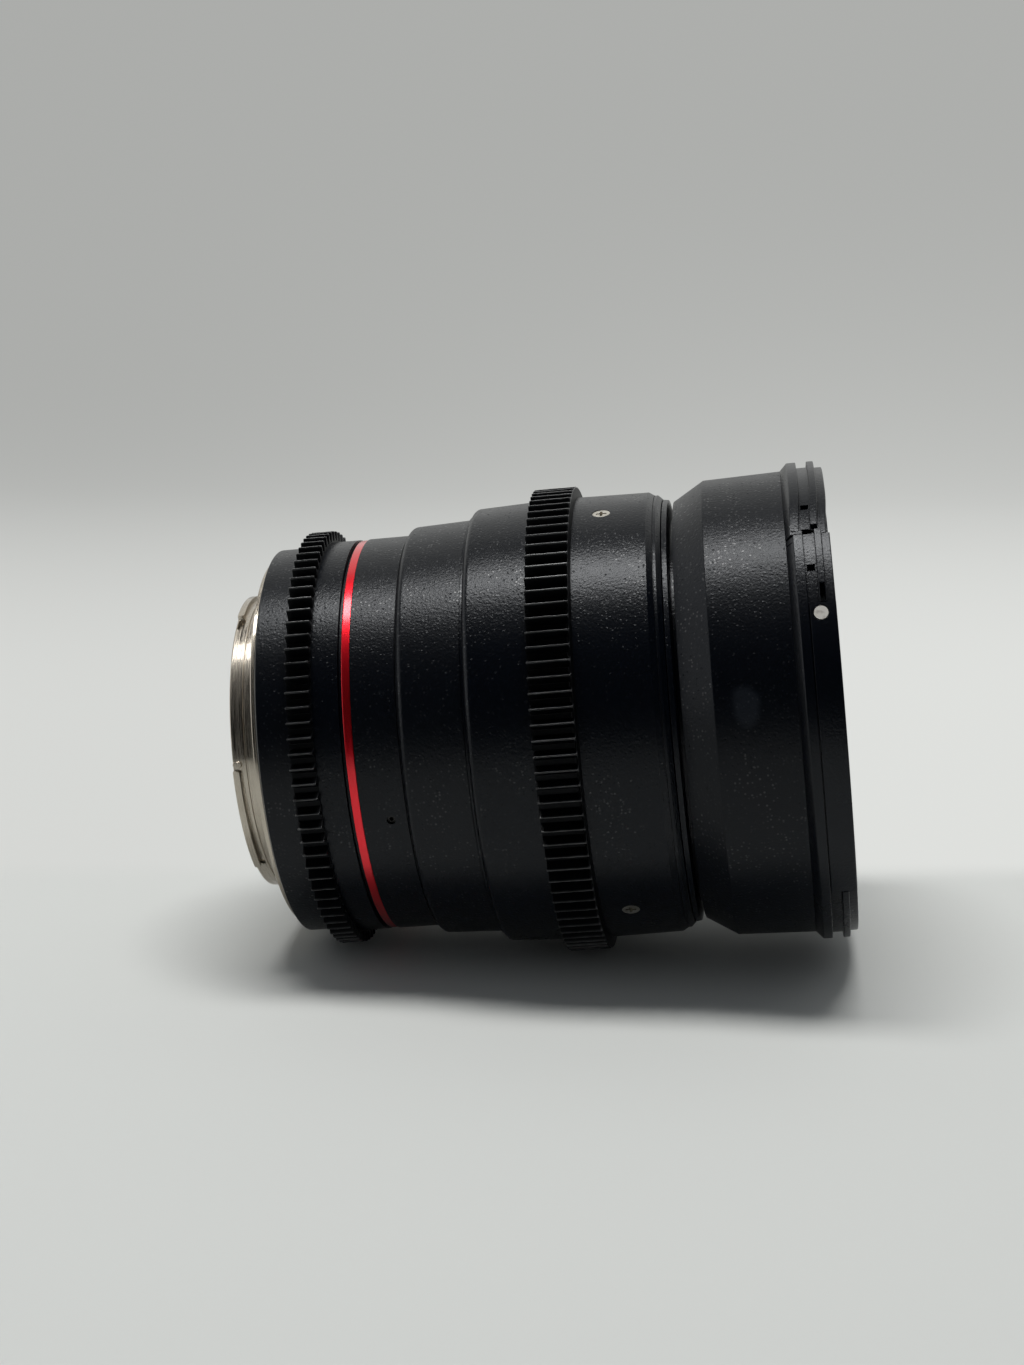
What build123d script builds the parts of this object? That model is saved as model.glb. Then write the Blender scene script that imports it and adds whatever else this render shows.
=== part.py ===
"""Cinema prime lens, full-frame 24 mm class, as separate pieces about one optical axis.

Millimetres.  The row frame has its origin at the centre of the rear seating face of the mount,
+X along the optical axis towards the subject and +Z up.  Pieces are drawn about a local Z axis
(the optical axis) and turned into the row frame when they are written.  Angles named clock are
in degrees, measured from the side that faces -Y, upwards.
"""
import math
import os

from build123d import *

# Fits and small clearances
seat_gap = 0.03
running_gap = 0.06
face_gap = 0.1
overrun = 1.0
full_turn = 360.0
half_turn = 180.0

# Bayonet mount: flange, tube, claws and the web that carries the rear baffle
mount_flange_overhang = 0.9
mount_flange_thickness = 1.3
mount_flange_bevel = 0.3
mount_tube_radius = 25.6
mount_tube_wall = 1.7
mount_tube_length = 5.3
mount_tube_groove_place = 2.7
mount_tube_groove_width = 0.3
mount_tube_groove_depth = 0.12
mount_claw_height = 0.75
mount_claw_thickness = 1.2
mount_claw_clocks = ((-43.0, 45.0), (69.5, 48.0), (190.0, 52.0))
mount_spigot_step = 1.4
mount_spigot_length = 1.6
mount_web_depth = 4.3
mount_web_thickness = 1.6
mount_lock_slot_clock = 150.0
mount_lock_slot_width = 2.4
mount_lock_slot_length = 3.2
mount_lock_slot_depth = 0.9

# Mount screws: countersunk crosshead, from the rear into the core barrel
mount_screw_count = 4
mount_screw_clock = 45.0
mount_screw_inset = 2.3
mount_screw_radius = 1.0
mount_screw_head_radius = 1.85
mount_screw_head_depth = 0.9
mount_screw_length = 4.6

# Rear baffle and its screws
baffle_thickness = 1.0
baffle_depth = 4.1
baffle_screw_count = 3
baffle_screw_clock = 90.0
baffle_screw_inset = 2.0
baffle_screw_radius = 0.6
baffle_screw_head_radius = 1.1
baffle_screw_head_height = 0.45
baffle_screw_length = 1.9

# Rear shell and the index dot for fitting the lens to a camera
rear_shell_length = 5.4
rear_shell_wall = 2.6
rear_shell_round = 0.6
mount_dot_clock = 190.0
mount_dot_radius = 1.4
mount_dot_depth = 0.8

# Core barrel, the fixed tube that carries everything
core_bearing_wall = 1.7
core_sleeve_wall = 3.4
core_focus_wall = 2.2
core_rear_flange_length = 5.2
core_rear_step = 1.2
core_mount_wall = 2.8
core_nose_length = 4.45

# Crosshead recess and slot shared by all screws, as shares of the head radius
recess_length_share = 1.2
recess_width_share = 0.3
recess_depth_share = 0.5

# Aperture ring: gear of 0.8 module and its sleeve
gear_module = 0.8
gear_dedendum_share = 1.25
gear_flank_angle = 20.0
aperture_gear_rise = 1.3
aperture_gear_width = 4.1
aperture_sleeve_wall = 2.55
aperture_gear_rim = 0.65
aperture_sleeve_length = 8.5
aperture_throw = 58.0
aperture_sleeve_clearance = 0.1

# Aperture link: a shoulder screw in the sleeve that drives the fork of the iris arm
link_clock = 170.0
link_setback = 5.2
link_radius = 1.0
link_head_radius = 1.7
link_head_depth = 0.8
link_reach = 0.6
link_slot_margin = 1.0

# Label sleeve with the red accent ring, and its set screws
label_rear_groove_width = 0.5
label_rear_groove_depth = 0.82
label_wall = 1.52
label_length = 9.45
accent_width = 1.5
accent_depth = 0.16
accent_wall = 0.76
set_screw_count = 3
set_screw_clock = -12.75
set_screw_setback = 2.65
set_screw_radius = 0.75
set_screw_depth = 0.5
set_screw_socket_share = 0.5

# Index sleeve, one step larger
index_step_length = 1.3
index_rise = 0.42
index_step = 1.72
index_length = 11.25

# Focus ring: scale ring, gear, front sleeve, end ring and cam tube
focus_gap = 0.1
focus_step_length = 1.3
scale_ring_wall = 1.12
scale_ring_rise = 0.46
scale_ring_length = 11.2
focus_gear_rise = 1.2
focus_gear_width = 7.2
focus_gear_wall = 0.4
focus_gear_wall_drop = 0.15
focus_tube_space = 1.55
focus_tube_wall = 0.65
focus_sleeve_wall = 1.7
focus_sleeve_fall = 0.2
focus_sleeve_length = 12.65
focus_sleeve_step = 1.0
end_ring_width = 1.35
end_ring_step = 0.65
end_ring_band = 0.55
end_ring_fall = 0.75
end_ring_spigot = 1.8
end_ring_spigot_wall = 2.2
focus_throw = 140.0
focus_travel = 6.5
cam_tube_setback = 1.3
cam_tube_wall = 2.9
cam_tube_band = 3.5
cam_boss_width = 5.0
focus_screw_count = 3
focus_screw_clock = 74.0
focus_screw_setback = 5.1
focus_screw_radius = 1.0
focus_screw_head_radius = 1.5
focus_screw_head_depth = 0.9
focus_screw_clearance = 1.2

# Lock ring that keeps the focus ring on the core and carries the front barrel
lock_ring_gap = 0.1
lock_ring_width = 0.9
lock_ring_step = 0.1
lock_ring_fall = 0.4
lock_ring_bevel = 0.3
lock_hub_depth = 1.7

# Front barrel
barrel_gap = 0.65
barrel_flare_length = 5.3
barrel_flare_inset = 0.1
barrel_flare_rise = 3.2
barrel_rise = 0.4
barrel_length = 18.6
barrel_wall = 2.6

# Front rim: the bayonet for a hood, with lip, groove, rib and band
rim_ramp_length = 1.25
rim_lip_height = 1.3
rim_lip_length = 1.55
rim_groove_depth = 1.05
rim_groove_length = 1.85
rim_rib_height = 1.0
rim_rib_length = 1.15
rim_band_depth = 1.15
rim_band_length = 1.4
rim_wall = 1.1
rim_land_clocks = ((-38.0, 71.7), (142.0, 71.7))
rim_land_depth = 0.1
rim_land_gap = 0.15
notch_clocks = (63.2, 54.2, 43.2)
notch_width = 1.3
notch_depth = 0.8
rib_slot_clock = 36.4
rib_slot_length = 3.0
rib_slot_width = 0.8
rib_slot_depth = 1.0
hood_dot_clock = 31.1
hood_dot_place = 4.7
hood_dot_radius = 1.15
hood_dot_depth = 0.8
hood_dot_proud = 0.04

# Filter ring with its thread wall
filter_ring_wall = 1.0
filter_ring_setback = 0.2

# Front bezel, bare
bezel_overlap = 1.05
bezel_lip_height = 1.5
bezel_edge = 0.5
bezel_thickness = 1.1

# Glass: shares of each group's largest radius.  Each row holds radius, gap to the glass outside
# it, thickness, outer curve, outer clear share, inner curve and inner clear share.  A curve above
# zero bulges out of the glass.
front_glass_wall = 2.4
front_glass_setback = 1.65
front_glass_shares = (
    (1.00, 0.000, 0.086, 2.41, 0.96, -1.31, 0.88),
    (0.79, 0.172, 0.069, 2.76, 0.95, -0.90, 0.78),
    (0.67, 0.200, 0.207, 3.10, 0.95, 3.10, 0.93),
    (0.62, 0.034, 0.052, -2.41, 0.90, -2.41, 0.90),
)
focus_glass_wall = 10.8
focus_glass_lead = 9.0
focus_glass_shares = (
    (1.00, 0.000, 0.300, 4.00, 0.96, 4.00, 0.96),
    (1.00, 0.001, 0.080, -4.00, 0.96, -3.00, 0.85),
    (0.93, 0.160, 0.230, 3.50, 0.95, 6.00, 0.93),
    (0.86, 0.030, 0.170, 4.00, 0.95, 20.0, 0.93),
)
rear_glass_wall = 2.0
rear_glass_recess = 3.7
rear_glass_shares = (
    (1.00, 0.000, 0.250, 4.50, 0.95, 5.50, 0.95),
    (0.95, 0.050, 0.090, -6.00, 0.90, -3.60, 0.90),
    (0.90, 0.100, 0.200, 4.00, 0.95, 5.00, 0.95),
    (0.85, 0.030, 0.160, 5.00, 0.95, 6.00, 0.94),
    (0.79, 0.050, 0.080, -6.00, 0.90, -4.00, 0.88),
)
retainer_height = 1.4

# Cells
cell_lip = 0.8
front_cell_flange_inset = 0.5
front_cell_flange_length = 2.0
front_cell_step = 3.1
rear_cell_clearance = 0.6
rear_cell_flange_height = 2.6
rear_cell_flange_length = 1.2
rear_cell_screw_count = 3
rear_cell_screw_clock = 30.0
rear_cell_screw_inset = 1.2
rear_cell_screw_radius = 0.6
rear_cell_screw_head_radius = 1.1
rear_cell_screw_head_height = 0.45
rear_cell_screw_length = 2.0

# Guide rollers of the carriage
roller_count = 3
roller_clock = 14.0
roller_setback = 8.1
roller_radius = 1.5
roller_root_depth = 2.6
roller_tip_depth = 0.4
roller_slot_gap = 0.05
roller_end_gap = 0.35

# Iris: housing cup, cover, pivots, blades and drive ring
iris_setback = 2.4
iris_margin = 0.2
iris_cover_thickness = 1.2
iris_depth = 4.0
iris_disc_thickness = 1.4
iris_rim_wall = 1.3
blade_count = 8
blade_thickness = 0.15
blade_pitch = 0.3
blade_width = 7.8
blade_inset = 2.8
blade_heel_angle = 5.0
blade_span_angle = 102.0
blade_swing = 30.5
blade_clock = 20.0
pivot_inset = 5.8
pivot_radius = 0.7
pivot_gap = 0.05
pivot_root = 0.8
ear_radius = 1.9
ear_width = 3.6
lever_length = 5.2
lever_width = 2.0
lever_angle = -96.0
drive_pin_radius = 0.5
drive_slot_gap = 0.12
drive_ring_inset = 1.7
drive_ring_gap = 0.1
drive_ring_thickness = 1.0
arm_inset = 3.5
arm_thickness = 1.2
arm_span_angle = 12.0
arm_rear_reach = 1.2
arm_window_margin = 2.0
arm_window_gap = 0.25

# Radii, each from the one inside it or outside it, so that a change to the mount tube carries on
mount_tube_bore = mount_tube_radius - mount_tube_wall
mount_claw_radius = mount_tube_radius + mount_claw_height
mount_spigot_radius = mount_tube_radius + mount_spigot_step
mount_web_bore = mount_tube_bore - mount_web_depth
mount_screw_circle = mount_spigot_radius + mount_screw_inset
baffle_opening = mount_web_bore - baffle_depth
baffle_screw_circle = mount_web_bore + baffle_screw_inset
core_bore = mount_spigot_radius + core_mount_wall
core_rear_bore = core_bore - core_rear_step
core_bearing_radius = core_bore + core_bearing_wall
core_sleeve_radius = core_bore + core_sleeve_wall
core_focus_radius = core_bore + core_focus_wall
mount_flange_radius = core_bearing_radius + mount_flange_overhang
rear_shell_radius = core_bearing_radius + rear_shell_wall
aperture_gear_bore = core_bearing_radius + aperture_sleeve_wall
aperture_sleeve_radius = aperture_gear_bore + aperture_gear_rim
label_radius = core_sleeve_radius + label_wall
label_rear_groove_radius = label_radius - label_rear_groove_depth
accent_radius = label_radius - accent_depth
accent_seat_radius = accent_radius - accent_wall
cam_tube_radius = core_focus_radius + cam_tube_wall
focus_tube_bore = cam_tube_radius + focus_tube_space
focus_tube_radius = focus_tube_bore + focus_tube_wall
scale_ring_radius_rear = focus_tube_radius + scale_ring_wall
scale_ring_radius_front = scale_ring_radius_rear + scale_ring_rise
index_radius_front = scale_ring_radius_rear - index_step
index_radius_rear = index_radius_front - index_rise
focus_sleeve_radius_rear = focus_tube_radius + focus_sleeve_wall
focus_sleeve_radius_front = focus_sleeve_radius_rear - focus_sleeve_fall
focus_screw_reach = core_focus_radius + focus_screw_clearance
end_ring_radius_rear = focus_sleeve_radius_front - end_ring_step
end_ring_radius_front = end_ring_radius_rear - end_ring_fall
lock_ring_radius_rear = end_ring_radius_front - lock_ring_step
lock_ring_radius_front = lock_ring_radius_rear - lock_ring_fall
lock_hub_radius = lock_ring_radius_front - lock_hub_depth
barrel_flare_radius = lock_ring_radius_front - barrel_flare_inset
barrel_radius_rear = barrel_flare_radius + barrel_flare_rise
barrel_radius_front = barrel_radius_rear + barrel_rise
barrel_bore = barrel_radius_front - barrel_wall
rim_lip_radius = barrel_radius_front + rim_lip_height
rim_groove_radius = rim_lip_radius - rim_groove_depth
rim_rib_radius = rim_groove_radius + rim_rib_height
rim_band_radius = rim_rib_radius - rim_band_depth
rim_bore = barrel_radius_front - rim_wall
rim_land_radius = rim_rib_radius - rim_land_depth
filter_thread_radius = rim_bore - filter_ring_wall
front_cell_flange_radius = lock_hub_radius - front_cell_flange_inset
front_cell_front_radius = front_cell_flange_radius - front_cell_step
front_glass_radius = front_cell_front_radius - front_glass_wall
bezel_lip_radius = front_glass_radius - bezel_overlap
focus_glass_radius = core_bore - focus_glass_wall
roller_root_radius = core_bore - roller_root_depth
roller_tip_radius = cam_tube_radius - roller_tip_depth
rear_cell_radius = mount_web_bore - rear_cell_clearance
rear_cell_flange_radius = rear_cell_radius + rear_cell_flange_height
rear_cell_screw_circle = rear_cell_radius + rear_cell_screw_inset
rear_glass_radius = rear_cell_radius - rear_glass_wall
pivot_circle = core_bore - pivot_inset
blade_outer_radius = pivot_circle - blade_inset
blade_inner_radius = blade_outer_radius - blade_width
iris_opening = blade_inner_radius - iris_margin
iris_rim_radius = core_bore - running_gap
drive_ring_bore = pivot_circle - drive_ring_inset
arm_inner_radius = core_bore - arm_inset
arm_outer_radius = arm_inner_radius + arm_thickness
link_tip_radius = arm_inner_radius - link_reach

# Teeth: as many as fit the pitch circle at the standard module
aperture_gear_teeth = round(2 * (aperture_sleeve_radius + aperture_gear_rise) / gear_module)
focus_gear_teeth = round(2 * (focus_sleeve_radius_rear + focus_gear_rise) / gear_module)

# Places along the optical axis that follow from the sizes above
shell_front = mount_flange_thickness + rear_shell_length
aperture_rear = shell_front + aperture_sleeve_clearance
aperture_front = aperture_rear + aperture_sleeve_length
link_place = aperture_rear + link_setback
label_rear = aperture_front + aperture_sleeve_clearance
accent_rear = label_rear + label_rear_groove_width
label_front = label_rear + label_length
set_screw_place = label_front - set_screw_setback
index_front = label_front + index_length
focus_rear = index_front + focus_gap
scale_ring_front = focus_rear + scale_ring_length
focus_gear_front = scale_ring_front + focus_gear_width
focus_screw_place = focus_gear_front + focus_screw_setback
focus_sleeve_front = focus_gear_front + focus_sleeve_length + focus_sleeve_step
end_ring_front = focus_sleeve_front + end_ring_width
lock_rear = end_ring_front + lock_ring_gap
lock_front = lock_rear + lock_ring_width
barrel_rear = lock_front + lock_ring_bevel + barrel_gap
core_front = barrel_rear + core_nose_length
barrel_front = barrel_rear + barrel_length
rim_front = (barrel_front + rim_ramp_length + rim_lip_length + rim_groove_length
             + rim_rib_length + rim_band_length)
iris_place = label_rear + iris_setback
iris_cover_front = iris_place + iris_cover_thickness
iris_disc_rear = iris_cover_front + iris_depth
iris_front = iris_disc_rear + iris_disc_thickness
drive_ring_rear = iris_cover_front + drive_ring_gap
drive_ring_front = drive_ring_rear + drive_ring_thickness
blade_rear = drive_ring_front + drive_ring_gap
cam_tube_start = focus_rear + cam_tube_setback
cam_tube_front = focus_sleeve_front - end_ring_spigot - face_gap
roller_place = cam_tube_start + roller_setback
focus_glass_place = roller_place + focus_glass_lead
front_glass_place = barrel_front - front_glass_setback
rear_glass_place = rear_glass_recess - mount_tube_length


def turned(*outline):
    """Ring or disc turned about the axis from (place along the axis, radius) corners."""
    corners = [(radius, place) for place, radius in outline]
    return revolve(Plane.XZ * make_face(Polyline(*corners, close=True)), Axis.Z, full_turn)


def tube(low, high, inner, outer):
    """Plain ring from low to high along the axis."""
    return turned((low, inner), (high, inner), (high, outer), (low, outer))


def clock(angle):
    """Turn about the axis that brings local +X to the given clock angle."""
    return Rot(0, 0, half_turn - angle)


def sector(start, span, low, high, inner, outer):
    """Part of a ring between two clock angles."""
    corners = ((inner, low), (inner, high), (outer, high), (outer, low))
    face = Plane.XZ * make_face(Polyline(*corners, close=True))
    return clock(start + span) * revolve(face, Axis.Z, span)


def radial_rod(angle, place, inner, outer, radius):
    """Rod that points out from the axis, between two distances from it."""
    middle = (inner + outer) / 2
    return clock(angle) * Pos(middle, 0, place) * Rot(0, 90, 0) * Cylinder(radius, outer - inner)


def axial_rod(angle, circle, low, high, radius):
    """Rod parallel to the axis at a distance from it."""
    return clock(angle) * Pos(circle, 0, (low + high) / 2) * Cylinder(radius, high - low)


def radial_block(angle, place, inner, outer, length, width):
    """Block that points out from the axis: length along the axis, width around it."""
    middle = (inner + outer) / 2
    return clock(angle) * Pos(middle, 0, place) * Box(outer - inner, width, length)


def spread(count, first):
    """Evenly spaced clock angles."""
    return [first + full_turn * index / count for index in range(count)]


def crosshead(head_radius):
    """Crosshead recess that opens at the local XY plane and goes down."""
    length = head_radius * recess_length_share
    width = head_radius * recess_width_share
    depth = head_radius * recess_depth_share
    return Box(length, width, depth + depth) + Box(width, length, depth + depth)


def countersunk_screw(radius, head_radius, head_depth, length):
    """Countersunk screw with its flat head at the local XY plane and its tip below it."""
    outline = ((0, 0), (head_radius, 0), (radius, -head_depth), (radius, -length), (0, -length))
    body = revolve(Plane.XZ * make_face(Polyline(*outline, close=True)), Axis.Z, full_turn)
    return body - crosshead(head_radius)


def pan_screw(radius, head_radius, head_height, length):
    """Screw whose flat head sits on the local XY plane and whose tip is below it."""
    outline = ((0, head_height), (head_radius, head_height), (head_radius, 0), (radius, 0),
               (radius, -length), (0, -length))
    body = revolve(Plane.XZ * make_face(Polyline(*outline, close=True)), Axis.Z, full_turn)
    return body - Pos(0, 0, head_height) * crosshead(head_radius)


def rear_facing(angle, circle, place):
    """Place on a face that looks to the rear, for a screw driven from the rear."""
    return clock(angle) * Pos(circle, 0, place) * Rot(half_turn, 0, 0)


def outward(angle, place, radius):
    """Place on the outside of a sleeve, for a screw driven towards the axis."""
    return clock(angle) * Pos(radius, 0, place) * Rot(0, 90, 0)


def bayonet_mount():
    flange = turned(
        (0, mount_tube_bore),
        (0, mount_flange_radius - mount_flange_bevel),
        (mount_flange_bevel, mount_flange_radius),
        (mount_flange_thickness, mount_flange_radius),
        (mount_flange_thickness, mount_tube_bore),
    )
    groove_front = -mount_tube_groove_place
    groove_rear = groove_front - mount_tube_groove_width
    groove_radius = mount_tube_radius - mount_tube_groove_depth
    web_rear = baffle_thickness - mount_tube_length
    web_front = web_rear + mount_web_thickness
    barrel = turned(
        (-mount_tube_length, mount_tube_bore),
        (-mount_tube_length, mount_tube_radius),
        (groove_rear, mount_tube_radius),
        (groove_rear, groove_radius),
        (groove_front, groove_radius),
        (groove_front, mount_tube_radius),
        (0, mount_tube_radius),
        (0, mount_spigot_radius),
        (mount_flange_thickness + mount_spigot_length, mount_spigot_radius),
        (mount_flange_thickness + mount_spigot_length, mount_tube_bore),
        (web_front, mount_tube_bore),
        (web_front, mount_web_bore),
        (web_rear, mount_web_bore),
        (web_rear, mount_tube_bore),
    )
    body = flange + barrel
    for start, span in mount_claw_clocks:
        body += sector(start, span, -mount_tube_length, mount_claw_thickness - mount_tube_length,
                       mount_tube_bore, mount_claw_radius)
    for angle in spread(mount_screw_count, mount_screw_clock):
        body -= axial_rod(angle, mount_screw_circle, -overrun, mount_flange_thickness + overrun,
                          mount_screw_radius + seat_gap)
        sink = turned((-overrun, 0), (-overrun, mount_screw_head_radius + overrun + seat_gap),
                      (mount_screw_head_depth, mount_screw_radius + seat_gap),
                      (mount_screw_head_depth, 0))
        body -= clock(angle) * Pos(mount_screw_circle, 0, 0) * sink
    for angle in spread(baffle_screw_count, baffle_screw_clock):
        body -= axial_rod(angle, baffle_screw_circle, web_rear - overrun, web_front + overrun,
                          baffle_screw_radius + seat_gap)
    body -= radial_block(mount_lock_slot_clock, mount_lock_slot_depth / 2 - overrun / 2,
                         mount_flange_radius - mount_lock_slot_length,
                         mount_flange_radius + overrun,
                         mount_lock_slot_depth + overrun, mount_lock_slot_width)
    return body


def mount_screws():
    screw = countersunk_screw(mount_screw_radius, mount_screw_head_radius,
                              mount_screw_head_depth, mount_screw_length)
    return [rear_facing(angle, mount_screw_circle, seat_gap) * screw
            for angle in spread(mount_screw_count, mount_screw_clock)]


def mount_baffle():
    ring = tube(-mount_tube_length, baffle_thickness - mount_tube_length,
                baffle_opening, mount_tube_bore - running_gap)
    for angle in spread(baffle_screw_count, baffle_screw_clock):
        ring -= axial_rod(angle, baffle_screw_circle, -mount_tube_length - overrun, 0,
                          baffle_screw_radius + seat_gap)
    return ring


def baffle_screws():
    screw = pan_screw(baffle_screw_radius, baffle_screw_head_radius, baffle_screw_head_height,
                      baffle_screw_length)
    return [rear_facing(angle, baffle_screw_circle, -mount_tube_length) * screw
            for angle in spread(baffle_screw_count, baffle_screw_clock)]


def rear_shell():
    shell = turned(
        (mount_flange_thickness, core_bearing_radius + seat_gap),
        (mount_flange_thickness, rear_shell_radius - rear_shell_round),
        (mount_flange_thickness + rear_shell_round, rear_shell_radius),
        (shell_front, rear_shell_radius),
        (shell_front, core_bearing_radius + seat_gap),
    )
    middle = (mount_flange_thickness + shell_front) / 2
    return shell - radial_rod(mount_dot_clock, middle, rear_shell_radius - mount_dot_depth,
                              rear_shell_radius + overrun, mount_dot_radius + seat_gap)


def mount_index_dot():
    middle = (mount_flange_thickness + shell_front) / 2
    return radial_rod(mount_dot_clock, middle, rear_shell_radius - mount_dot_depth,
                      rear_shell_radius, mount_dot_radius)


def core_barrel():
    flange_front = mount_flange_thickness + core_rear_flange_length
    body = turned(
        (mount_flange_thickness, mount_spigot_radius + seat_gap),
        (flange_front, mount_spigot_radius + seat_gap),
        (flange_front, core_rear_bore),
        (iris_place, core_rear_bore),
        (iris_place, core_bore),
        (core_front, core_bore),
        (core_front, core_focus_radius),
        (index_front, core_focus_radius),
        (index_front, core_sleeve_radius),
        (label_rear, core_sleeve_radius),
        (label_rear, core_bearing_radius),
        (mount_flange_thickness, core_bearing_radius),
    )
    for angle in spread(mount_screw_count, mount_screw_clock):
        body -= axial_rod(angle, mount_screw_circle, 0, mount_screw_length + overrun / 2,
                          mount_screw_radius + seat_gap)
    for angle in spread(set_screw_count, set_screw_clock):
        body -= radial_rod(angle, set_screw_place, core_bore - overrun,
                           core_sleeve_radius + overrun, set_screw_radius + seat_gap)
    margin = math.degrees((link_radius + link_slot_margin) / core_bearing_radius)
    body -= sector(link_clock - aperture_throw - margin, aperture_throw + margin + margin,
                   link_place - link_radius - running_gap, link_place + link_radius + running_gap,
                   core_rear_bore - overrun, core_bearing_radius + overrun)
    half_width = roller_radius + roller_slot_gap
    slot_length = focus_travel + roller_radius + roller_radius + roller_end_gap + roller_end_gap
    for angle in spread(roller_count, roller_clock):
        body -= radial_block(angle, roller_place + focus_travel / 2, core_bore - overrun,
                             core_focus_radius + overrun, slot_length, half_width + half_width)
    return body


def gear_ring(teeth, low, high, bore):
    """Spur ring of straight-sided teeth, plain along its width."""
    pitch_radius = teeth * gear_module / 2
    tip = tip_radius(teeth)
    root = pitch_radius - gear_module * gear_dedendum_share
    lean = math.tan(math.radians(gear_flank_angle))
    tip_half = math.pi * gear_module / 4 - gear_module * lean
    root_half = math.pi * gear_module / 4 + gear_module * gear_dedendum_share * lean
    corners = []
    for index in range(teeth):
        middle = 2 * math.pi * index / teeth
        for radius, offset in ((root, -root_half), (tip, -tip_half), (tip, tip_half),
                               (root, root_half)):
            angle = middle + offset / radius
            corners.append((radius * math.cos(angle), radius * math.sin(angle)))
    blank = extrude(make_face(Polyline(*corners, close=True)), high - low)
    return Pos(0, 0, low) * blank - tube(low - overrun, high + overrun, 0, bore)


def tip_radius(teeth):
    return teeth * gear_module / 2 + gear_module


def aperture_gear():
    return gear_ring(aperture_gear_teeth, aperture_rear, aperture_rear + aperture_gear_width,
                     aperture_gear_bore)


def aperture_sleeve():
    bore = core_bearing_radius + running_gap
    gear_front = aperture_rear + aperture_gear_width
    sleeve = turned(
        (aperture_rear, bore),
        (aperture_front, bore),
        (aperture_front, aperture_sleeve_radius),
        (gear_front, aperture_sleeve_radius),
        (gear_front, aperture_gear_bore - seat_gap),
        (aperture_rear, aperture_gear_bore - seat_gap),
    )
    seat = aperture_gear_bore - seat_gap
    sleeve -= radial_rod(link_clock, link_place, bore - overrun, seat + overrun,
                         link_radius + seat_gap)
    return sleeve - radial_rod(link_clock, link_place, seat - link_head_depth - seat_gap,
                               seat + overrun, link_head_radius + seat_gap)


def aperture_link_screw():
    seat = aperture_gear_bore - seat_gap
    shank = radial_rod(link_clock, link_place, link_tip_radius, seat - link_head_depth,
                       link_radius)
    head = radial_rod(link_clock, link_place, seat - link_head_depth, seat - seat_gap,
                      link_head_radius)
    return shank + head


def label_sleeve():
    bore = core_sleeve_radius + seat_gap
    accent_front = accent_rear + accent_width
    sleeve = turned(
        (label_rear, bore),
        (label_front, bore),
        (label_front, label_radius),
        (accent_front, label_radius),
        (accent_front, accent_seat_radius),
        (accent_rear, accent_seat_radius),
        (accent_rear, label_rear_groove_radius),
        (label_rear, label_rear_groove_radius),
    )
    for angle in spread(set_screw_count, set_screw_clock):
        sleeve -= radial_rod(angle, set_screw_place, core_sleeve_radius - overrun,
                             label_radius + overrun, set_screw_radius + seat_gap)
    return sleeve


def accent_ring():
    return tube(accent_rear, accent_rear + accent_width - seat_gap,
                accent_seat_radius + seat_gap, accent_radius)


def sleeve_set_screws():
    """Socket set screws that lock the label sleeve, the core and the iris housing together."""
    outer = label_radius - set_screw_depth
    screws = []
    for angle in spread(set_screw_count, set_screw_clock):
        screw = radial_rod(angle, set_screw_place, iris_rim_radius + seat_gap, outer,
                           set_screw_radius)
        socket = radial_rod(angle, set_screw_place, outer - set_screw_radius, outer + overrun,
                            set_screw_radius * set_screw_socket_share)
        screws.append(screw - socket)
    return screws


def index_sleeve():
    bore = core_sleeve_radius + seat_gap
    return turned(
        (label_front, bore),
        (index_front, bore),
        (index_front, index_radius_front),
        (label_front + index_step_length, index_radius_rear),
        (label_front, label_radius),
    )


def focus_scale_ring():
    bore = focus_tube_radius + seat_gap
    return turned(
        (focus_rear, bore),
        (scale_ring_front, bore),
        (scale_ring_front, scale_ring_radius_front),
        (focus_rear + focus_step_length, scale_ring_radius_rear),
        (focus_rear, index_radius_front),
    )


def focus_gear():
    """Teeth open at the rear and closed at the front by a thin wall."""
    bore = focus_tube_radius + seat_gap
    ring = gear_ring(focus_gear_teeth, scale_ring_front, focus_gear_front, bore)
    return ring + tube(focus_gear_front - focus_gear_wall, focus_gear_front, bore,
                       tip_radius(focus_gear_teeth) - focus_gear_wall_drop)


def focus_sleeve():
    sleeve = turned(
        (focus_rear, focus_tube_bore),
        (focus_sleeve_front, focus_tube_bore),
        (focus_sleeve_front, end_ring_radius_rear),
        (focus_sleeve_front - focus_sleeve_step, focus_sleeve_radius_front),
        (focus_gear_front, focus_sleeve_radius_rear),
        (focus_gear_front, focus_tube_radius),
        (focus_rear, focus_tube_radius),
    )
    outer = focus_screw_face()
    for angle in spread(focus_screw_count, focus_screw_clock):
        sleeve -= radial_rod(angle, focus_screw_place, focus_tube_bore - overrun,
                             outer + overrun, focus_screw_radius + seat_gap)
        sleeve -= radial_rod(angle, focus_screw_place, outer - focus_screw_head_depth,
                             outer + overrun + overrun, focus_screw_head_radius + seat_gap)
    return sleeve


def focus_screw_face():
    """Radius of the front sleeve where its screws lie."""
    share = (focus_screw_place - focus_gear_front) / focus_sleeve_length
    return focus_sleeve_radius_rear + (focus_sleeve_radius_front - focus_sleeve_radius_rear) * share


def focus_screws():
    outer = focus_screw_face()
    screw = pan_screw(focus_screw_radius, focus_screw_head_radius,
                      focus_screw_head_depth - face_gap,
                      outer - focus_screw_head_depth - focus_screw_reach)
    return [outward(angle, focus_screw_place, outer - focus_screw_head_depth) * screw
            for angle in spread(focus_screw_count, focus_screw_clock)]


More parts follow.
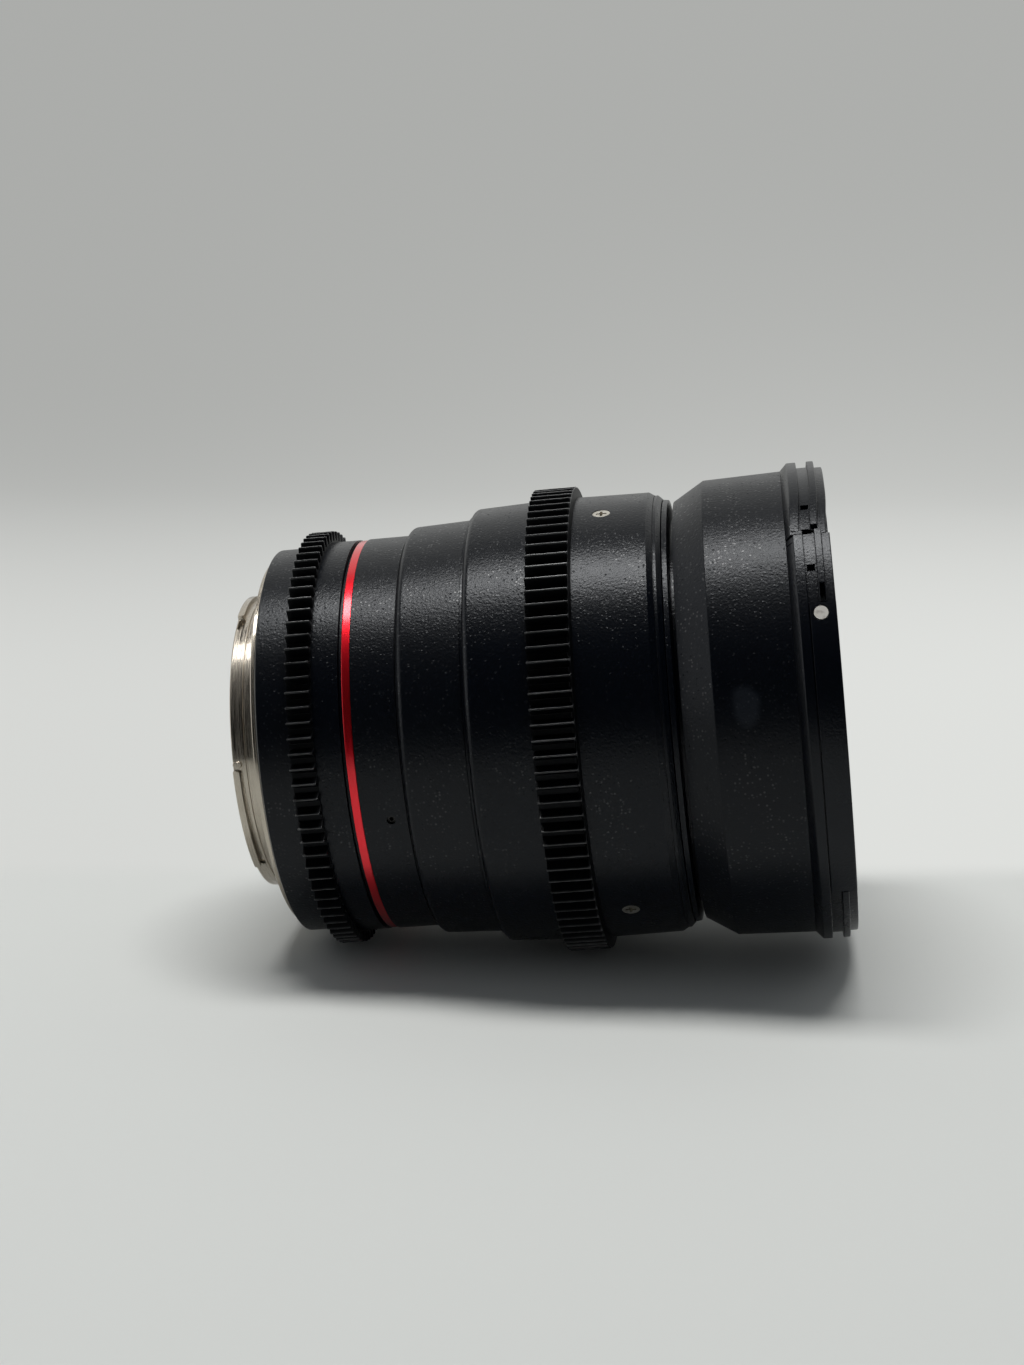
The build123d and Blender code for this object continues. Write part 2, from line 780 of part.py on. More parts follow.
def focus_end_ring():
    spigot_radius = focus_tube_bore - seat_gap
    return turned(
        (focus_sleeve_front, core_focus_radius + running_gap),
        (end_ring_front, core_focus_radius + running_gap),
        (end_ring_front, end_ring_radius_front),
        (focus_sleeve_front + end_ring_band, end_ring_radius_rear),
        (focus_sleeve_front, end_ring_radius_rear),
        (focus_sleeve_front, spigot_radius),
        (focus_sleeve_front - end_ring_spigot, spigot_radius),
        (focus_sleeve_front - end_ring_spigot, spigot_radius - end_ring_spigot_wall),
        (focus_sleeve_front, spigot_radius - end_ring_spigot_wall),
    )


def cam_slot(angle):
    """Helical slot tool that follows a guide roller as the cam tube turns."""
    lead = focus_travel * full_turn / focus_throw
    end_angle = math.degrees((roller_radius + roller_end_gap) / core_focus_radius)
    swept = focus_throw + end_angle + end_angle
    start = roller_place - lead * end_angle / full_turn
    middle = (core_focus_radius + cam_tube_radius) / 2
    path = Helix(lead, lead * swept / full_turn, middle, lefthand=True)
    width = roller_radius + roller_radius + roller_slot_gap + roller_slot_gap
    depth = cam_tube_radius - core_focus_radius + overrun + overrun
    section = Plane(origin=path @ 0, x_dir=(1, 0, 0), z_dir=path % 0) * Rectangle(depth, width)
    tool = sweep(section, path=path, is_frenet=True)
    return clock(angle) * Rot(0, 0, end_angle) * Pos(0, 0, start) * tool


def focus_cam_tube():
    bore = core_focus_radius + running_gap
    band_radius = focus_tube_bore - seat_gap
    boss_rear = focus_screw_place - cam_boss_width / 2
    boss_front = focus_screw_place + cam_boss_width / 2
    body = turned(
        (cam_tube_start, bore),
        (cam_tube_front, bore),
        (cam_tube_front, cam_tube_radius),
        (boss_front, cam_tube_radius),
        (boss_front, band_radius),
        (boss_rear, band_radius),
        (boss_rear, cam_tube_radius),
        (cam_tube_start + cam_tube_band, cam_tube_radius),
        (cam_tube_start + cam_tube_band, band_radius),
        (cam_tube_start, band_radius),
    )
    for angle in spread(focus_screw_count, focus_screw_clock):
        body -= radial_rod(angle, focus_screw_place, focus_screw_reach - face_gap,
                           focus_tube_bore + overrun, focus_screw_radius + seat_gap)
    for angle in spread(roller_count, roller_clock):
        body -= cam_slot(angle)
    return body


def barrel_lock_ring():
    return turned(
        (lock_rear, core_focus_radius + seat_gap),
        (core_front, core_focus_radius + seat_gap),
        (core_front, lock_hub_radius),
        (lock_front + lock_ring_bevel, lock_hub_radius),
        (lock_front, lock_ring_radius_front),
        (lock_rear, lock_ring_radius_rear),
    )


def front_barrel():
    cavity = core_front + front_cell_flange_length
    return turned(
        (barrel_rear, lock_hub_radius + seat_gap),
        (cavity, lock_hub_radius + seat_gap),
        (cavity, barrel_bore),
        (barrel_front, barrel_bore),
        (barrel_front, barrel_radius_front),
        (barrel_rear + barrel_flare_length, barrel_radius_rear),
        (barrel_rear, barrel_flare_radius),
    )


def front_rim():
    lip_rear = barrel_front + rim_ramp_length
    groove_rear = lip_rear + rim_lip_length
    rib_rear = groove_rear + rim_groove_length
    band_rear = rib_rear + rim_rib_length
    body = turned(
        (barrel_front, rim_bore),
        (barrel_front, barrel_radius_front),
        (lip_rear, rim_lip_radius),
        (groove_rear, rim_lip_radius),
        (groove_rear, rim_groove_radius),
        (rib_rear, rim_groove_radius),
        (rib_rear, rim_rib_radius),
        (band_rear, rim_rib_radius),
        (band_rear, rim_band_radius),
        (rim_front, rim_band_radius),
        (rim_front, rim_bore),
    )
    for start, span in rim_land_clocks:
        body -= sector(start, span, rib_rear, band_rear, rim_groove_radius,
                       rim_rib_radius + overrun)
        body += sector(start, span, groove_rear + rim_land_gap, rim_front, rim_bore,
                       rim_land_radius)
    for angle in notch_clocks:
        body -= radial_block(angle, (groove_rear + rib_rear) / 2,
                             rim_groove_radius - notch_depth, rim_rib_radius + overrun,
                             notch_width, notch_width)
    body -= radial_block(rib_slot_clock, rib_rear + rim_rib_length / 2,
                         rim_rib_radius - rib_slot_depth, rim_rib_radius + overrun,
                         rib_slot_width, rib_slot_length)
    return body - radial_rod(hood_dot_clock, barrel_front + hood_dot_place,
                             rim_land_radius - hood_dot_depth, rim_rib_radius + overrun,
                             hood_dot_radius + seat_gap)


def hood_index_dot():
    return radial_rod(hood_dot_clock, barrel_front + hood_dot_place,
                      rim_land_radius - hood_dot_depth, rim_land_radius + hood_dot_proud,
                      hood_dot_radius)


def filter_ring():
    return tube(barrel_front, rim_front - filter_ring_setback, filter_thread_radius,
                rim_bore - seat_gap)


def sag(curve, radius):
    """Height of a spherical surface between its middle and a given radius."""
    size = abs(curve)
    height = size - math.sqrt(size * size - radius * radius)
    return math.copysign(height, curve)


def glass_stations(group_radius, shares):
    """Real sizes of each glass of a group, measured inwards from the outermost surface."""
    stations = []
    apex = 0.0
    for radius_share, gap, thickness, outer, outer_clear, inner, inner_clear in shares:
        radius = group_radius * radius_share
        apex -= group_radius * gap
        base = apex - group_radius * thickness
        outer_radius = radius * outer_clear
        inner_radius = radius * inner_clear
        stations.append({
            "radius": radius, "apex": apex, "base": base,
            "outer_radius": outer_radius, "inner_radius": inner_radius,
            "outer_curve": group_radius * outer, "inner_curve": group_radius * inner,
            "outer_flat": apex - sag(group_radius * outer, outer_radius),
            "inner_flat": base + sag(group_radius * inner, inner_radius),
        })
        apex = base
    return stations


def glass(station):
    """One lens: two spherical faces, each with a flat seat at its edge."""
    outer_half = station["outer_radius"] / 2
    inner_half = station["inner_radius"] / 2
    outer_middle = (outer_half, station["apex"] - sag(station["outer_curve"], outer_half))
    inner_middle = (inner_half, station["base"] + sag(station["inner_curve"], inner_half))
    outer_edge = (station["outer_radius"], station["outer_flat"])
    inner_edge = (station["inner_radius"], station["inner_flat"])
    rim = Polyline(inner_edge, (station["radius"], station["inner_flat"]),
                   (station["radius"], station["outer_flat"]), outer_edge)
    lines = [
        Line((0, station["apex"]), (0, station["base"])),
        ThreePointArc((0, station["base"]), inner_middle, inner_edge),
        rim,
        ThreePointArc(outer_edge, outer_middle, (0, station["apex"])),
    ]
    return revolve(Plane.XZ * make_face(Curve() + lines), Axis.Z, full_turn)


def cell_bore(stations):
    """Stepped bore of a cell, from its mouth inwards, with a seat behind each smaller glass."""
    corners = []
    for index, station in enumerate(stations):
        bore = station["radius"] + seat_gap
        following = stations[index + 1:index + 2]
        if following and following[0]["radius"] == station["radius"]:
            continue
        inner = following[0]["radius"] + seat_gap if following else station["inner_radius"]
        touching = min(inner, station["inner_radius"])
        seat = station["base"] + sag(station["inner_curve"], touching)
        if station["inner_curve"] < 0:
            seat = station["inner_flat"]
        corners.append((seat, bore))
        corners.append((seat, inner))
    return corners


def retainer(stations):
    """Ring in the mouth of a cell that keeps its glass in."""
    first = stations[0]
    return tube(first["outer_flat"], first["outer_flat"] + retainer_height,
                first["outer_radius"], first["radius"] - seat_gap)


def front_cell(stations, shift):
    bore = cell_bore(stations)
    mouth = stations[0]["outer_flat"] + retainer_height
    flange_rear = core_front - shift
    flange_front = flange_rear + front_cell_flange_length
    tail = stations[-1]["inner_flat"] - cell_lip
    return turned(
        (mouth, stations[0]["radius"] + seat_gap),
        *bore,
        (tail, stations[-1]["inner_radius"]),
        (tail, core_bore - running_gap),
        (flange_rear, core_bore - running_gap),
        (flange_rear, front_cell_flange_radius),
        (flange_front, front_cell_flange_radius),
        (flange_front, front_cell_front_radius),
        (mouth, front_cell_front_radius),
    )


def front_bezel(stations):
    """Bare ring between the front glass and the filter thread."""
    seat = stations[0]["outer_flat"]
    mouth = seat + retainer_height
    lip_front = seat + bezel_lip_height
    edge = barrel_bore - running_gap
    flare_front = barrel_front - front_glass_place - face_gap
    return turned(
        (seat, bezel_lip_radius),
        (lip_front, bezel_lip_radius),
        (flare_front - bezel_edge, edge - bezel_edge),
        (flare_front, edge - bezel_edge),
        (flare_front, edge),
        (flare_front - bezel_edge - bezel_thickness, edge),
        (mouth + face_gap, stations[0]["radius"] - seat_gap),
        (seat, stations[0]["radius"] - seat_gap),
    )


def focus_carriage(stations):
    """Sliding cell of the focus glass, guided by rollers in the straight slots of the core."""
    bore = cell_bore(stations)
    mouth = stations[0]["outer_flat"] + retainer_height
    tail = stations[-1]["inner_flat"] - cell_lip
    body = turned(
        (mouth, stations[0]["radius"] + seat_gap),
        *bore,
        (tail, stations[-1]["inner_radius"]),
        (tail, core_bore - running_gap),
        (mouth, core_bore - running_gap),
    )
    for angle in spread(roller_count, roller_clock):
        body -= radial_rod(angle, roller_place - focus_glass_place,
                           roller_root_radius - seat_gap, core_bore + overrun,
                           roller_radius + seat_gap)
    return body


def focus_rollers():
    return [radial_rod(angle, roller_place, roller_root_radius, roller_tip_radius, roller_radius)
            for angle in spread(roller_count, roller_clock)]


def rear_cell(stations):
    """Cell of the rear glass, drawn with its mouth outwards and turned to the rear later."""
    bore = cell_bore(stations)
    mouth = stations[0]["outer_flat"] + retainer_height
    flange_front = rear_glass_place - iris_place
    flange_rear = flange_front + rear_cell_flange_length
    body = turned(
        (mouth, stations[0]["radius"] + seat_gap),
        *bore,
        (flange_front, stations[-1]["inner_radius"]),
        (flange_front, rear_cell_flange_radius),
        (flange_rear, rear_cell_flange_radius),
        (flange_rear, rear_cell_radius),
        (mouth, rear_cell_radius),
    )
    for angle in spread(rear_cell_screw_count, rear_cell_screw_clock):
        body -= axial_rod(angle, rear_cell_screw_circle, flange_front - overrun,
                          flange_rear + overrun, rear_cell_screw_radius + seat_gap)
    return body


def rear_cell_screws():
    screw = pan_screw(rear_cell_screw_radius, rear_cell_screw_head_radius,
                      rear_cell_screw_head_height, rear_cell_screw_length)
    return [rear_facing(-angle, rear_cell_screw_circle, iris_place - rear_cell_flange_length)
            * screw for angle in spread(rear_cell_screw_count, rear_cell_screw_clock)]


def blade_clocks():
    return spread(blade_count, blade_clock)


def iris_housing():
    body = turned(
        (iris_cover_front, iris_rim_radius - iris_rim_wall),
        (iris_disc_rear, iris_rim_radius - iris_rim_wall),
        (iris_disc_rear, iris_opening),
        (iris_front, iris_opening),
        (iris_front, iris_rim_radius),
        (iris_cover_front, iris_rim_radius),
    )
    for angle in blade_clocks():
        body -= axial_rod(angle, pivot_circle, iris_disc_rear - overrun,
                          iris_disc_rear + pivot_root, pivot_radius)
    return body


def iris_pivot_pins():
    return [axial_rod(angle, pivot_circle, blade_rear, iris_disc_rear + pivot_root, pivot_radius)
            for angle in blade_clocks()]


def iris_cover():
    """Rear plate of the iris, with a window for the drive arm."""
    body = tube(iris_place, iris_cover_front, iris_opening, iris_rim_radius)
    margin = arm_span_angle / 2 + arm_window_margin
    body -= sector(link_clock - aperture_throw - margin, aperture_throw + margin + margin,
                   iris_place - overrun, iris_cover_front + overrun,
                   arm_inner_radius - arm_window_gap, arm_outer_radius + arm_window_gap)
    for angle in spread(rear_cell_screw_count, rear_cell_screw_clock):
        body -= axial_rod(-angle, rear_cell_screw_circle, iris_place - overrun,
                          iris_cover_front + overrun, rear_cell_screw_radius + seat_gap)
    return body


def drive_pin_point(share):
    """Drive pin seen from a pivot on the local X axis, at a share of the blade's swing."""
    angle = math.radians(lever_angle + blade_swing * share)
    return pivot_circle + lever_length * math.cos(angle), lever_length * math.sin(angle)


def ring_slot_point(share):
    """The same pin seen from the drive ring, which has turned by a share of its throw."""
    x, y = drive_pin_point(share)
    back = math.radians(-aperture_throw * share)
    return (x * math.cos(back) - y * math.sin(back), x * math.sin(back) + y * math.cos(back))


def iris_drive_ring():
    rim = iris_rim_radius - iris_rim_wall - running_gap
    body = tube(drive_ring_rear, drive_ring_front, drive_ring_bore, rim)
    path = ThreePointArc(ring_slot_point(0), ring_slot_point(1 / 2), ring_slot_point(1))
    width = 2 * (drive_pin_radius + drive_slot_gap)
    slot = extrude(SlotArc(path, width), drive_ring_thickness + overrun + overrun)
    for angle in blade_clocks():
        body -= clock(angle) * Pos(0, 0, drive_ring_rear - overrun) * slot
    return body


def iris_drive_arm():
    """Arm from the drive ring back to the link screw, with a fork at its rear end."""
    rear = link_place - link_radius - arm_rear_reach
    body = sector(link_clock - arm_span_angle / 2, arm_span_angle, rear, drive_ring_rear,
                  arm_inner_radius, arm_outer_radius)
    fork_front = link_place + link_radius + running_gap
    return body - radial_block(link_clock, (rear - overrun + fork_front) / 2,
                               arm_inner_radius - overrun, arm_outer_radius + overrun,
                               fork_front - rear + overrun,
                               link_radius + link_radius + running_gap + running_gap)


def iris_blade(index):
    """Curved leaf with an ear on its pivot and a lever whose pin runs in the drive ring."""
    low = blade_rear + blade_pitch * index
    leaf = extrude(blade_outline(), blade_thickness)
    pin_x, pin_y = drive_pin_point(0)
    pin_length = low + blade_thickness - drive_ring_rear
    pin = Pos(pin_x, pin_y, blade_thickness - pin_length / 2) * Cylinder(drive_pin_radius,
                                                                         pin_length)
    return clock(blade_clocks()[index]) * Pos(0, 0, low) * (leaf + pin)


def blade_outline():
    """Flat shape of a blade with its pivot on the local X axis."""
    middle = (blade_inner_radius + blade_outer_radius) / 2
    width = blade_outer_radius - blade_inner_radius
    first = math.radians(-blade_heel_angle)
    last = math.radians(blade_span_angle)
    halfway = (first + last) / 2
    path = ThreePointArc((middle * math.cos(first), middle * math.sin(first)),
                         (middle * math.cos(halfway), middle * math.sin(halfway)),
                         (middle * math.cos(last), middle * math.sin(last)))
    tip = (math.cos(last), math.sin(last))
    heel = (math.cos(first), math.sin(first))
    inner = blade_inner_radius
    outer = blade_outer_radius
    edge = [
        ThreePointArc((inner * heel[0], inner * heel[1]),
                      (inner * math.cos(halfway), inner * math.sin(halfway)),
                      (inner * tip[0], inner * tip[1])),
        ThreePointArc((inner * tip[0], inner * tip[1]),
                      (path @ 1) + Vector(-tip[1], tip[0]) * width / 2,
                      (outer * tip[0], outer * tip[1])),
        ThreePointArc((outer * tip[0], outer * tip[1]),
                      (outer * math.cos(halfway), outer * math.sin(halfway)),
                      (outer * heel[0], outer * heel[1])),
        Line((outer * heel[0], outer * heel[1]), (inner * heel[0], inner * heel[1])),
    ]
    strip = make_face(Curve() + edge)
    ear_length = pivot_circle - middle
    ear = Pos(pivot_circle - ear_length / 2, 0) * Rectangle(ear_length, ear_width)
    ear += Pos(pivot_circle, 0) * Circle(ear_radius)
    pin_x, pin_y = drive_pin_point(0)
    lever = Pos((pivot_circle + pin_x) / 2, pin_y / 2) * Rot(0, 0, lever_angle) * (
        SlotCenterToCenter(lever_length, lever_width))
    hole = Pos(pivot_circle, 0) * Circle(pivot_radius + pivot_gap)
    return strip + ear + lever - hole


def write(name, shape):
    """Turns a piece or a group of pieces into the row frame and writes it."""
    solids = shape if isinstance(shape, list) else [shape]
    row_frame = Plane(origin=(0, 0, 0), x_dir=(0, 1, 0), z_dir=(1, 0, 0)).location
    placed = [row_frame * solid for part in solids for solid in part.solids()]
    whole = placed[0] if len(placed) == 1 else Compound(children=placed)
    whole.label = name
    export_step(whole, "parts/" + name + ".step")


def write_glass(name, stations, place):
    """Writes each glass of a group under its own name."""
    for index, station in enumerate(stations):
        write(name + "_" + str(index + 1), place * glass(station))


def write_fixed_pieces():
    write("bayonet_mount", bayonet_mount())
    write("mount_screws", mount_screws())
    write("mount_baffle", mount_baffle())
    write("baffle_screws", baffle_screws())
    write("rear_shell", rear_shell())
    write("mount_index_dot", mount_index_dot())
    write("core_barrel", core_barrel())
    write("label_sleeve", label_sleeve())
    write("accent_ring", accent_ring())
    write("sleeve_set_screws", sleeve_set_screws())
    write("index_sleeve", index_sleeve())
    write("barrel_lock_ring", barrel_lock_ring())
    write("front_barrel", front_barrel())
    write("front_rim", front_rim())
    write("hood_index_dot", hood_index_dot())
    write("filter_ring", filter_ring())


def write_front_group():
    place = Pos(0, 0, front_glass_place)
    stations = glass_stations(front_glass_radius, front_glass_shares)
    write("front_cell", place * front_cell(stations, front_glass_place))
    write("front_bezel", place * front_bezel(stations))
    write_glass("front_glass", stations, place)


def write_rear_group():
    place = Pos(0, 0, rear_glass_place) * Rot(half_turn, 0, 0)
    stations = glass_stations(rear_glass_radius, rear_glass_shares)
    write("rear_cell", place * rear_cell(stations))
    write("rear_retainer", place * retainer(stations))
    write("rear_cell_screws", rear_cell_screws())
    write_glass("rear_glass", stations, place)


def write_focus_group():
    place = Pos(0, 0, focus_glass_place)
    stations = glass_stations(focus_glass_radius, focus_glass_shares)
    write("focus_carriage", place * focus_carriage(stations))
    write("focus_retainer", place * retainer(stations))
    write("focus_rollers", focus_rollers())
    write_glass("focus_glass", stations, place)


def write_aperture_ring():
    write("aperture_sleeve", aperture_sleeve())
    write("aperture_gear", aperture_gear())
    write("aperture_link_screw", aperture_link_screw())


def write_focus_ring():
    write("focus_scale_ring", focus_scale_ring())
    write("focus_gear", focus_gear())
    write("focus_sleeve", focus_sleeve())
    write("focus_screws", focus_screws())
    write("focus_end_ring", focus_end_ring())
    write("focus_cam_tube", focus_cam_tube())


def write_iris():
    write("iris_housing", iris_housing())
    write("iris_pivot_pins", iris_pivot_pins())
    write("iris_cover", iris_cover())
    write("iris_drive_ring", iris_drive_ring())
    write("iris_drive_arm", iris_drive_arm())
    for index in range(blade_count):
        write("iris_blade_" + str(index + 1), iris_blade(index))


os.makedirs("parts", exist_ok=True)
write_fixed_pieces()
write_aperture_ring()
write_focus_ring()
write_iris()
write_front_group()
write_focus_group()
write_rear_group()
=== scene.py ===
import math
import bpy
import numpy as np
from mathutils import Matrix, Vector


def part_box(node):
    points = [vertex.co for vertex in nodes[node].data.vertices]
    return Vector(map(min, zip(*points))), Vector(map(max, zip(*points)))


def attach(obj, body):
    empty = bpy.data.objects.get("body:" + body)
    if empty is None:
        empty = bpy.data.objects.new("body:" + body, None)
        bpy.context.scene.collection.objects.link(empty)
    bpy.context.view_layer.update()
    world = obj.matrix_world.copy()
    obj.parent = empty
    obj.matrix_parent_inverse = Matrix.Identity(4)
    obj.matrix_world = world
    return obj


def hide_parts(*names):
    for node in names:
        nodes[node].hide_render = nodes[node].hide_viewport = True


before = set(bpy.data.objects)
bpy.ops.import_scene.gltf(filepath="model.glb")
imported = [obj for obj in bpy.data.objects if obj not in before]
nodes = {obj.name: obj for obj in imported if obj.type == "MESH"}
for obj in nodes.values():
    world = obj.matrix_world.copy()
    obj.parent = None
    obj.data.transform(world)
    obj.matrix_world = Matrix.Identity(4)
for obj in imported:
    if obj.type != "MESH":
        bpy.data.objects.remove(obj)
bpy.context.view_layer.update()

mm = 0.001
print("frame loaded:", len(nodes), "nodes")


# One operator of a wrapped socket, plain or reflected, as a Math node
def operator(operation, reflected=False):
    def apply(self, other):
        return self.graph.math(operation, *((other, self) if reflected else (self, other)))
    return apply


# Shader helpers: a wrapped socket that adds Math nodes when it is used in an expression
class Signal:
    def __init__(self, graph, node, output):
        self.graph = graph
        self.node = node
        self.socket = node.outputs[output]

    def out(self, name):
        return Signal(self.graph, self.node, name)

    __add__, __radd__ = operator("ADD"), operator("ADD", True)
    __sub__, __rsub__ = operator("SUBTRACT"), operator("SUBTRACT", True)
    __mul__, __rmul__ = operator("MULTIPLY"), operator("MULTIPLY", True)
    __truediv__, __rtruediv__ = operator("DIVIDE"), operator("DIVIDE", True)
    __pow__, __rpow__ = operator("POWER"), operator("POWER", True)


# The nodes of a material or of the world
class Graph:
    def __init__(self, tree):
        self.tree = tree

    def node(self, kind, settings=None, inputs=None, output=0):
        made = self.tree.nodes.new(kind)
        for key, value in (settings or {}).items():
            setattr(made, key, value)
        for key, value in (inputs or {}).items():
            if isinstance(value, Signal):
                self.tree.links.new(value.socket, made.inputs[key])
            else:
                made.inputs[key].default_value = value
        return Signal(self, made, output)

    def link(self, signal, socket):
        self.tree.links.new(signal.socket, socket)

    def math(self, operation, first, second=0.0):
        return self.node("ShaderNodeMath", {"operation": operation}, {0: first, 1: second})


# A material around one Principled shader
class Look(Graph):
    def __init__(self, name, constants=None):
        self.material = bpy.data.materials.new(name)
        self.material.use_nodes = True
        super().__init__(self.material.node_tree)
        self.tree.nodes.clear()
        self.surface = self.tree.nodes.new("ShaderNodeOutputMaterial").inputs["Surface"]
        self.shader = self.node("ShaderNodeBsdfPrincipled", None, constants)
        self.link(self.shader, self.surface)

    def feed(self, key, signal):
        self.link(signal, self.shader.node.inputs[key])

    def spot(self):
        return self.node("ShaderNodeTexCoord", output="Object")

    def axes(self):
        split = self.node("ShaderNodeSeparateXYZ", inputs={"Vector": self.spot()})
        return split, split.out("Y"), split.out("Z")

    # Place on a turned surface: along the axis, round it (arc length) and out from it
    def turnedPlace(self, radius):
        x, y, z = self.axes()
        return x, self.math("ARCTAN2", z, 0.0 - y) * radius, (y * y + z * z) ** 0.5

    def pack(self, x, y, z):
        return self.node("ShaderNodeCombineXYZ", inputs={0: x, 1: y, 2: z})

    def noise(self, vector, scale, detail=2.0, rough=0.5):
        return self.node("ShaderNodeTexNoise", None,
                         {"Vector": vector, "Scale": scale, "Detail": detail, "Roughness": rough})

    # Smooth step from 0 at low to 1 at high
    def ease(self, value, low, high):
        return self.node("ShaderNodeMapRange", {"interpolation_type": "SMOOTHSTEP"},
                         {"Value": value, "From Min": low, "From Max": high}, "Result")

    # Round spots with a soft edge in the cells that are drawn, by one random number a cell
    def spots(self, vector, scale, edge, draw):
        cell = self.node("ShaderNodeTexVoronoi", {"feature": "F1"},
                         {"Vector": vector, "Scale": scale}, "Distance")
        lot = self.node("ShaderNodeSeparateColor", None, {"Color": cell.out("Color")}, "Red")
        return self.ease(cell, *edge) * self.ease(lot, *draw)

    def blend(self, factor, first, second):
        return self.node("ShaderNodeMix", {"data_type": "RGBA"},
                         {"Factor": factor, 6: first, 7: second}, 2)

    def bump(self, height, strength, distance, under=None):
        inputs = {"Height": height, "Strength": strength, "Distance": distance}
        if under is not None:
            inputs["Normal"] = under
        return self.node("ShaderNodeBump", None, inputs, "Normal")

    # Roughness that a cloud varies, and bumps, both from a finish's own values
    def vary(self, wear, cloud, bumps):
        self.feed("Roughness", wear["roughness"] + cloud * wear["spread"])
        self.feed("Normal", self.bump(bumps, wear["strength"], wear["height"]))


def grey(value, tint=(1.0, 1.0, 1.0)):
    return (value * tint[0], value * tint[1], value * tint[2], 1.0)


# An object that holds data at a place, its X, Y and Z axes turned to right, up and back
def hold(name, data, place, right, up, back):
    holder = bpy.data.objects.new(name, data)
    turn = Matrix((right, up, back)).transposed()
    holder.matrix_world = Matrix.Translation(place) @ turn.to_4x4()
    bpy.context.scene.collection.objects.link(holder)
    return holder


# Camera at the photograph's place
camera = {
    "place": (0.08921, -0.39748, 0.08268),
    "right": (0.98964, 0.10267, -0.10035),
    "up": (0.07890, 0.19499, 0.97763),
    "forward": (-0.11994, 0.97542, -0.18487),
    "lens": 60.66,
    "film": 36.0,
    "near": 0.01,
    "far": 20.0,
}


def makeCamera():
    view = bpy.data.cameras.new("photoCamera")
    view.lens = camera["lens"]
    view.sensor_width = camera["film"]
    view.sensor_fit = "AUTO"
    view.clip_start = camera["near"]
    view.clip_end = camera["far"]
    back = [-v for v in camera["forward"]]
    bpy.context.scene.camera = hold("photoCamera", view, camera["place"],
                                    camera["right"], camera["up"], back)


makeCamera()
print("camera placed")


# Meshes from whole arrays of points
def meshFromGrid(name, points, closeRows=False, closeColumns=False, flip=False, sharp=40.0):
    rows, columns = points.shape[:2]
    index = np.arange(rows * columns).reshape(rows, columns)
    if closeRows:
        index = np.vstack([index, index[:1]])
    if closeColumns:
        index = np.hstack([index, index[:, :1]])
    quads = np.stack([index[:-1, :-1], index[1:, :-1], index[1:, 1:], index[:-1, 1:]], -1)
    quads = quads.reshape(-1, 4)
    if flip:
        quads = quads[:, ::-1]
    return meshFromFaces(name, points.reshape(-1, 3), quads, sharp)


def meshFromFaces(name, points, faces, sharp):
    mesh = bpy.data.meshes.new(name)
    count, sides = faces.shape
    mesh.vertices.add(len(points))
    mesh.vertices.foreach_set("co", (points * mm).astype(np.float32).ravel())
    mesh.loops.add(count * sides)
    mesh.loops.foreach_set("vertex_index", faces.astype(np.int32).ravel())
    mesh.polygons.add(count)
    mesh.polygons.foreach_set("loop_start", np.arange(0, count * sides, sides, dtype=np.int32))
    mesh.update(calc_edges=True)
    mesh.validate()
    mesh.polygons.foreach_set("use_smooth", np.ones(len(mesh.polygons), dtype=bool))
    mesh.set_sharp_from_angle(angle=math.radians(sharp))
    piece = bpy.data.objects.new(name, mesh)
    bpy.context.scene.collection.objects.link(piece)
    return piece


# A turned place: x along the axis, radius out from it, clock in radians from the -Y side upwards
def turnedPoint(x, radius, clock):
    return np.stack([x + 0.0 * clock, -radius * np.cos(clock), radius * np.sin(clock)], -1)


# A closed profile of (x, radius, rounding) corners, each corner rounded by an arc of its own.
# The arc touches both sides, and one more point on each side keeps the flat next to it flat.
def roundedProfile(corners, steps=4, support=0.05):
    corners = np.array(corners, dtype=float)
    points = []
    for index in range(len(corners)):
        here = corners[index, :2]
        size = corners[index, 2]
        before = corners[index - 1, :2] - here
        after = corners[(index + 1) % len(corners), :2] - here
        if size <= 0.0:
            points.append(here)
            continue
        back = before / np.linalg.norm(before)
        ahead = after / np.linalg.norm(after)
        half = math.acos(np.clip(back @ ahead, -1.0, 1.0)) / 2
        setback = size / math.tan(half)
        middle = here + (back + ahead) / np.linalg.norm(back + ahead) * size / math.sin(half)
        first = here + back * setback - middle
        last = here + ahead * setback - middle
        sweep = math.atan2(first[0] * last[1] - first[1] * last[0], first @ last)
        points.append(here + back * (setback + support))
        for step in np.linspace(0.0, sweep, steps + 1):
            cosine, sine = math.cos(step), math.sin(step)
            points.append(middle + np.array([cosine * first[0] - sine * first[1],
                                             sine * first[0] + cosine * first[1]]))
        points.append(here + ahead * (setback + support))
    return np.array(points)


# Area inside a profile, negative where it runs clockwise
def profileArea(profile):
    x, radius = profile[:, 0], profile[:, 1]
    return 0.5 * np.sum(x * np.roll(radius, -1) - np.roll(x, -1) * radius)


# A ring: the closed profile carried round the axis, point = (x, -r cos clock, r sin clock)
def ring(name, corners, clocks=360, steps=4):
    profile = roundedProfile(corners, steps)
    clock = np.linspace(0.0, 2 * math.pi, clocks, endpoint=False)
    points = turnedPoint(profile[:, None, 0], profile[:, None, 1], clock[None, :])
    return meshFromGrid(name, points, True, True, flip=profileArea(profile) < 0)


def dress(piece, look, body, nodeName):
    piece.data.materials.append(look.material)
    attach(piece, body)
    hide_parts(nodeName)


# A node's rear and front ends along the axis and its outer radius, in millimetres
def reach(nodeName):
    low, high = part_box(nodeName)
    return low[0] / mm, high[0] / mm, high[2] / mm


# Smooth step from 0 to 1 as value goes from low to high
def ease(value, low, high):
    share = np.clip((value - low) / (high - low), 0.0, 1.0)
    return share * share * (3.0 - 2.0 * share)


# An angle in degrees, brought between -180 and 180
def wrapped(degrees):
    return (degrees + 180.0) % 360.0 - 180.0


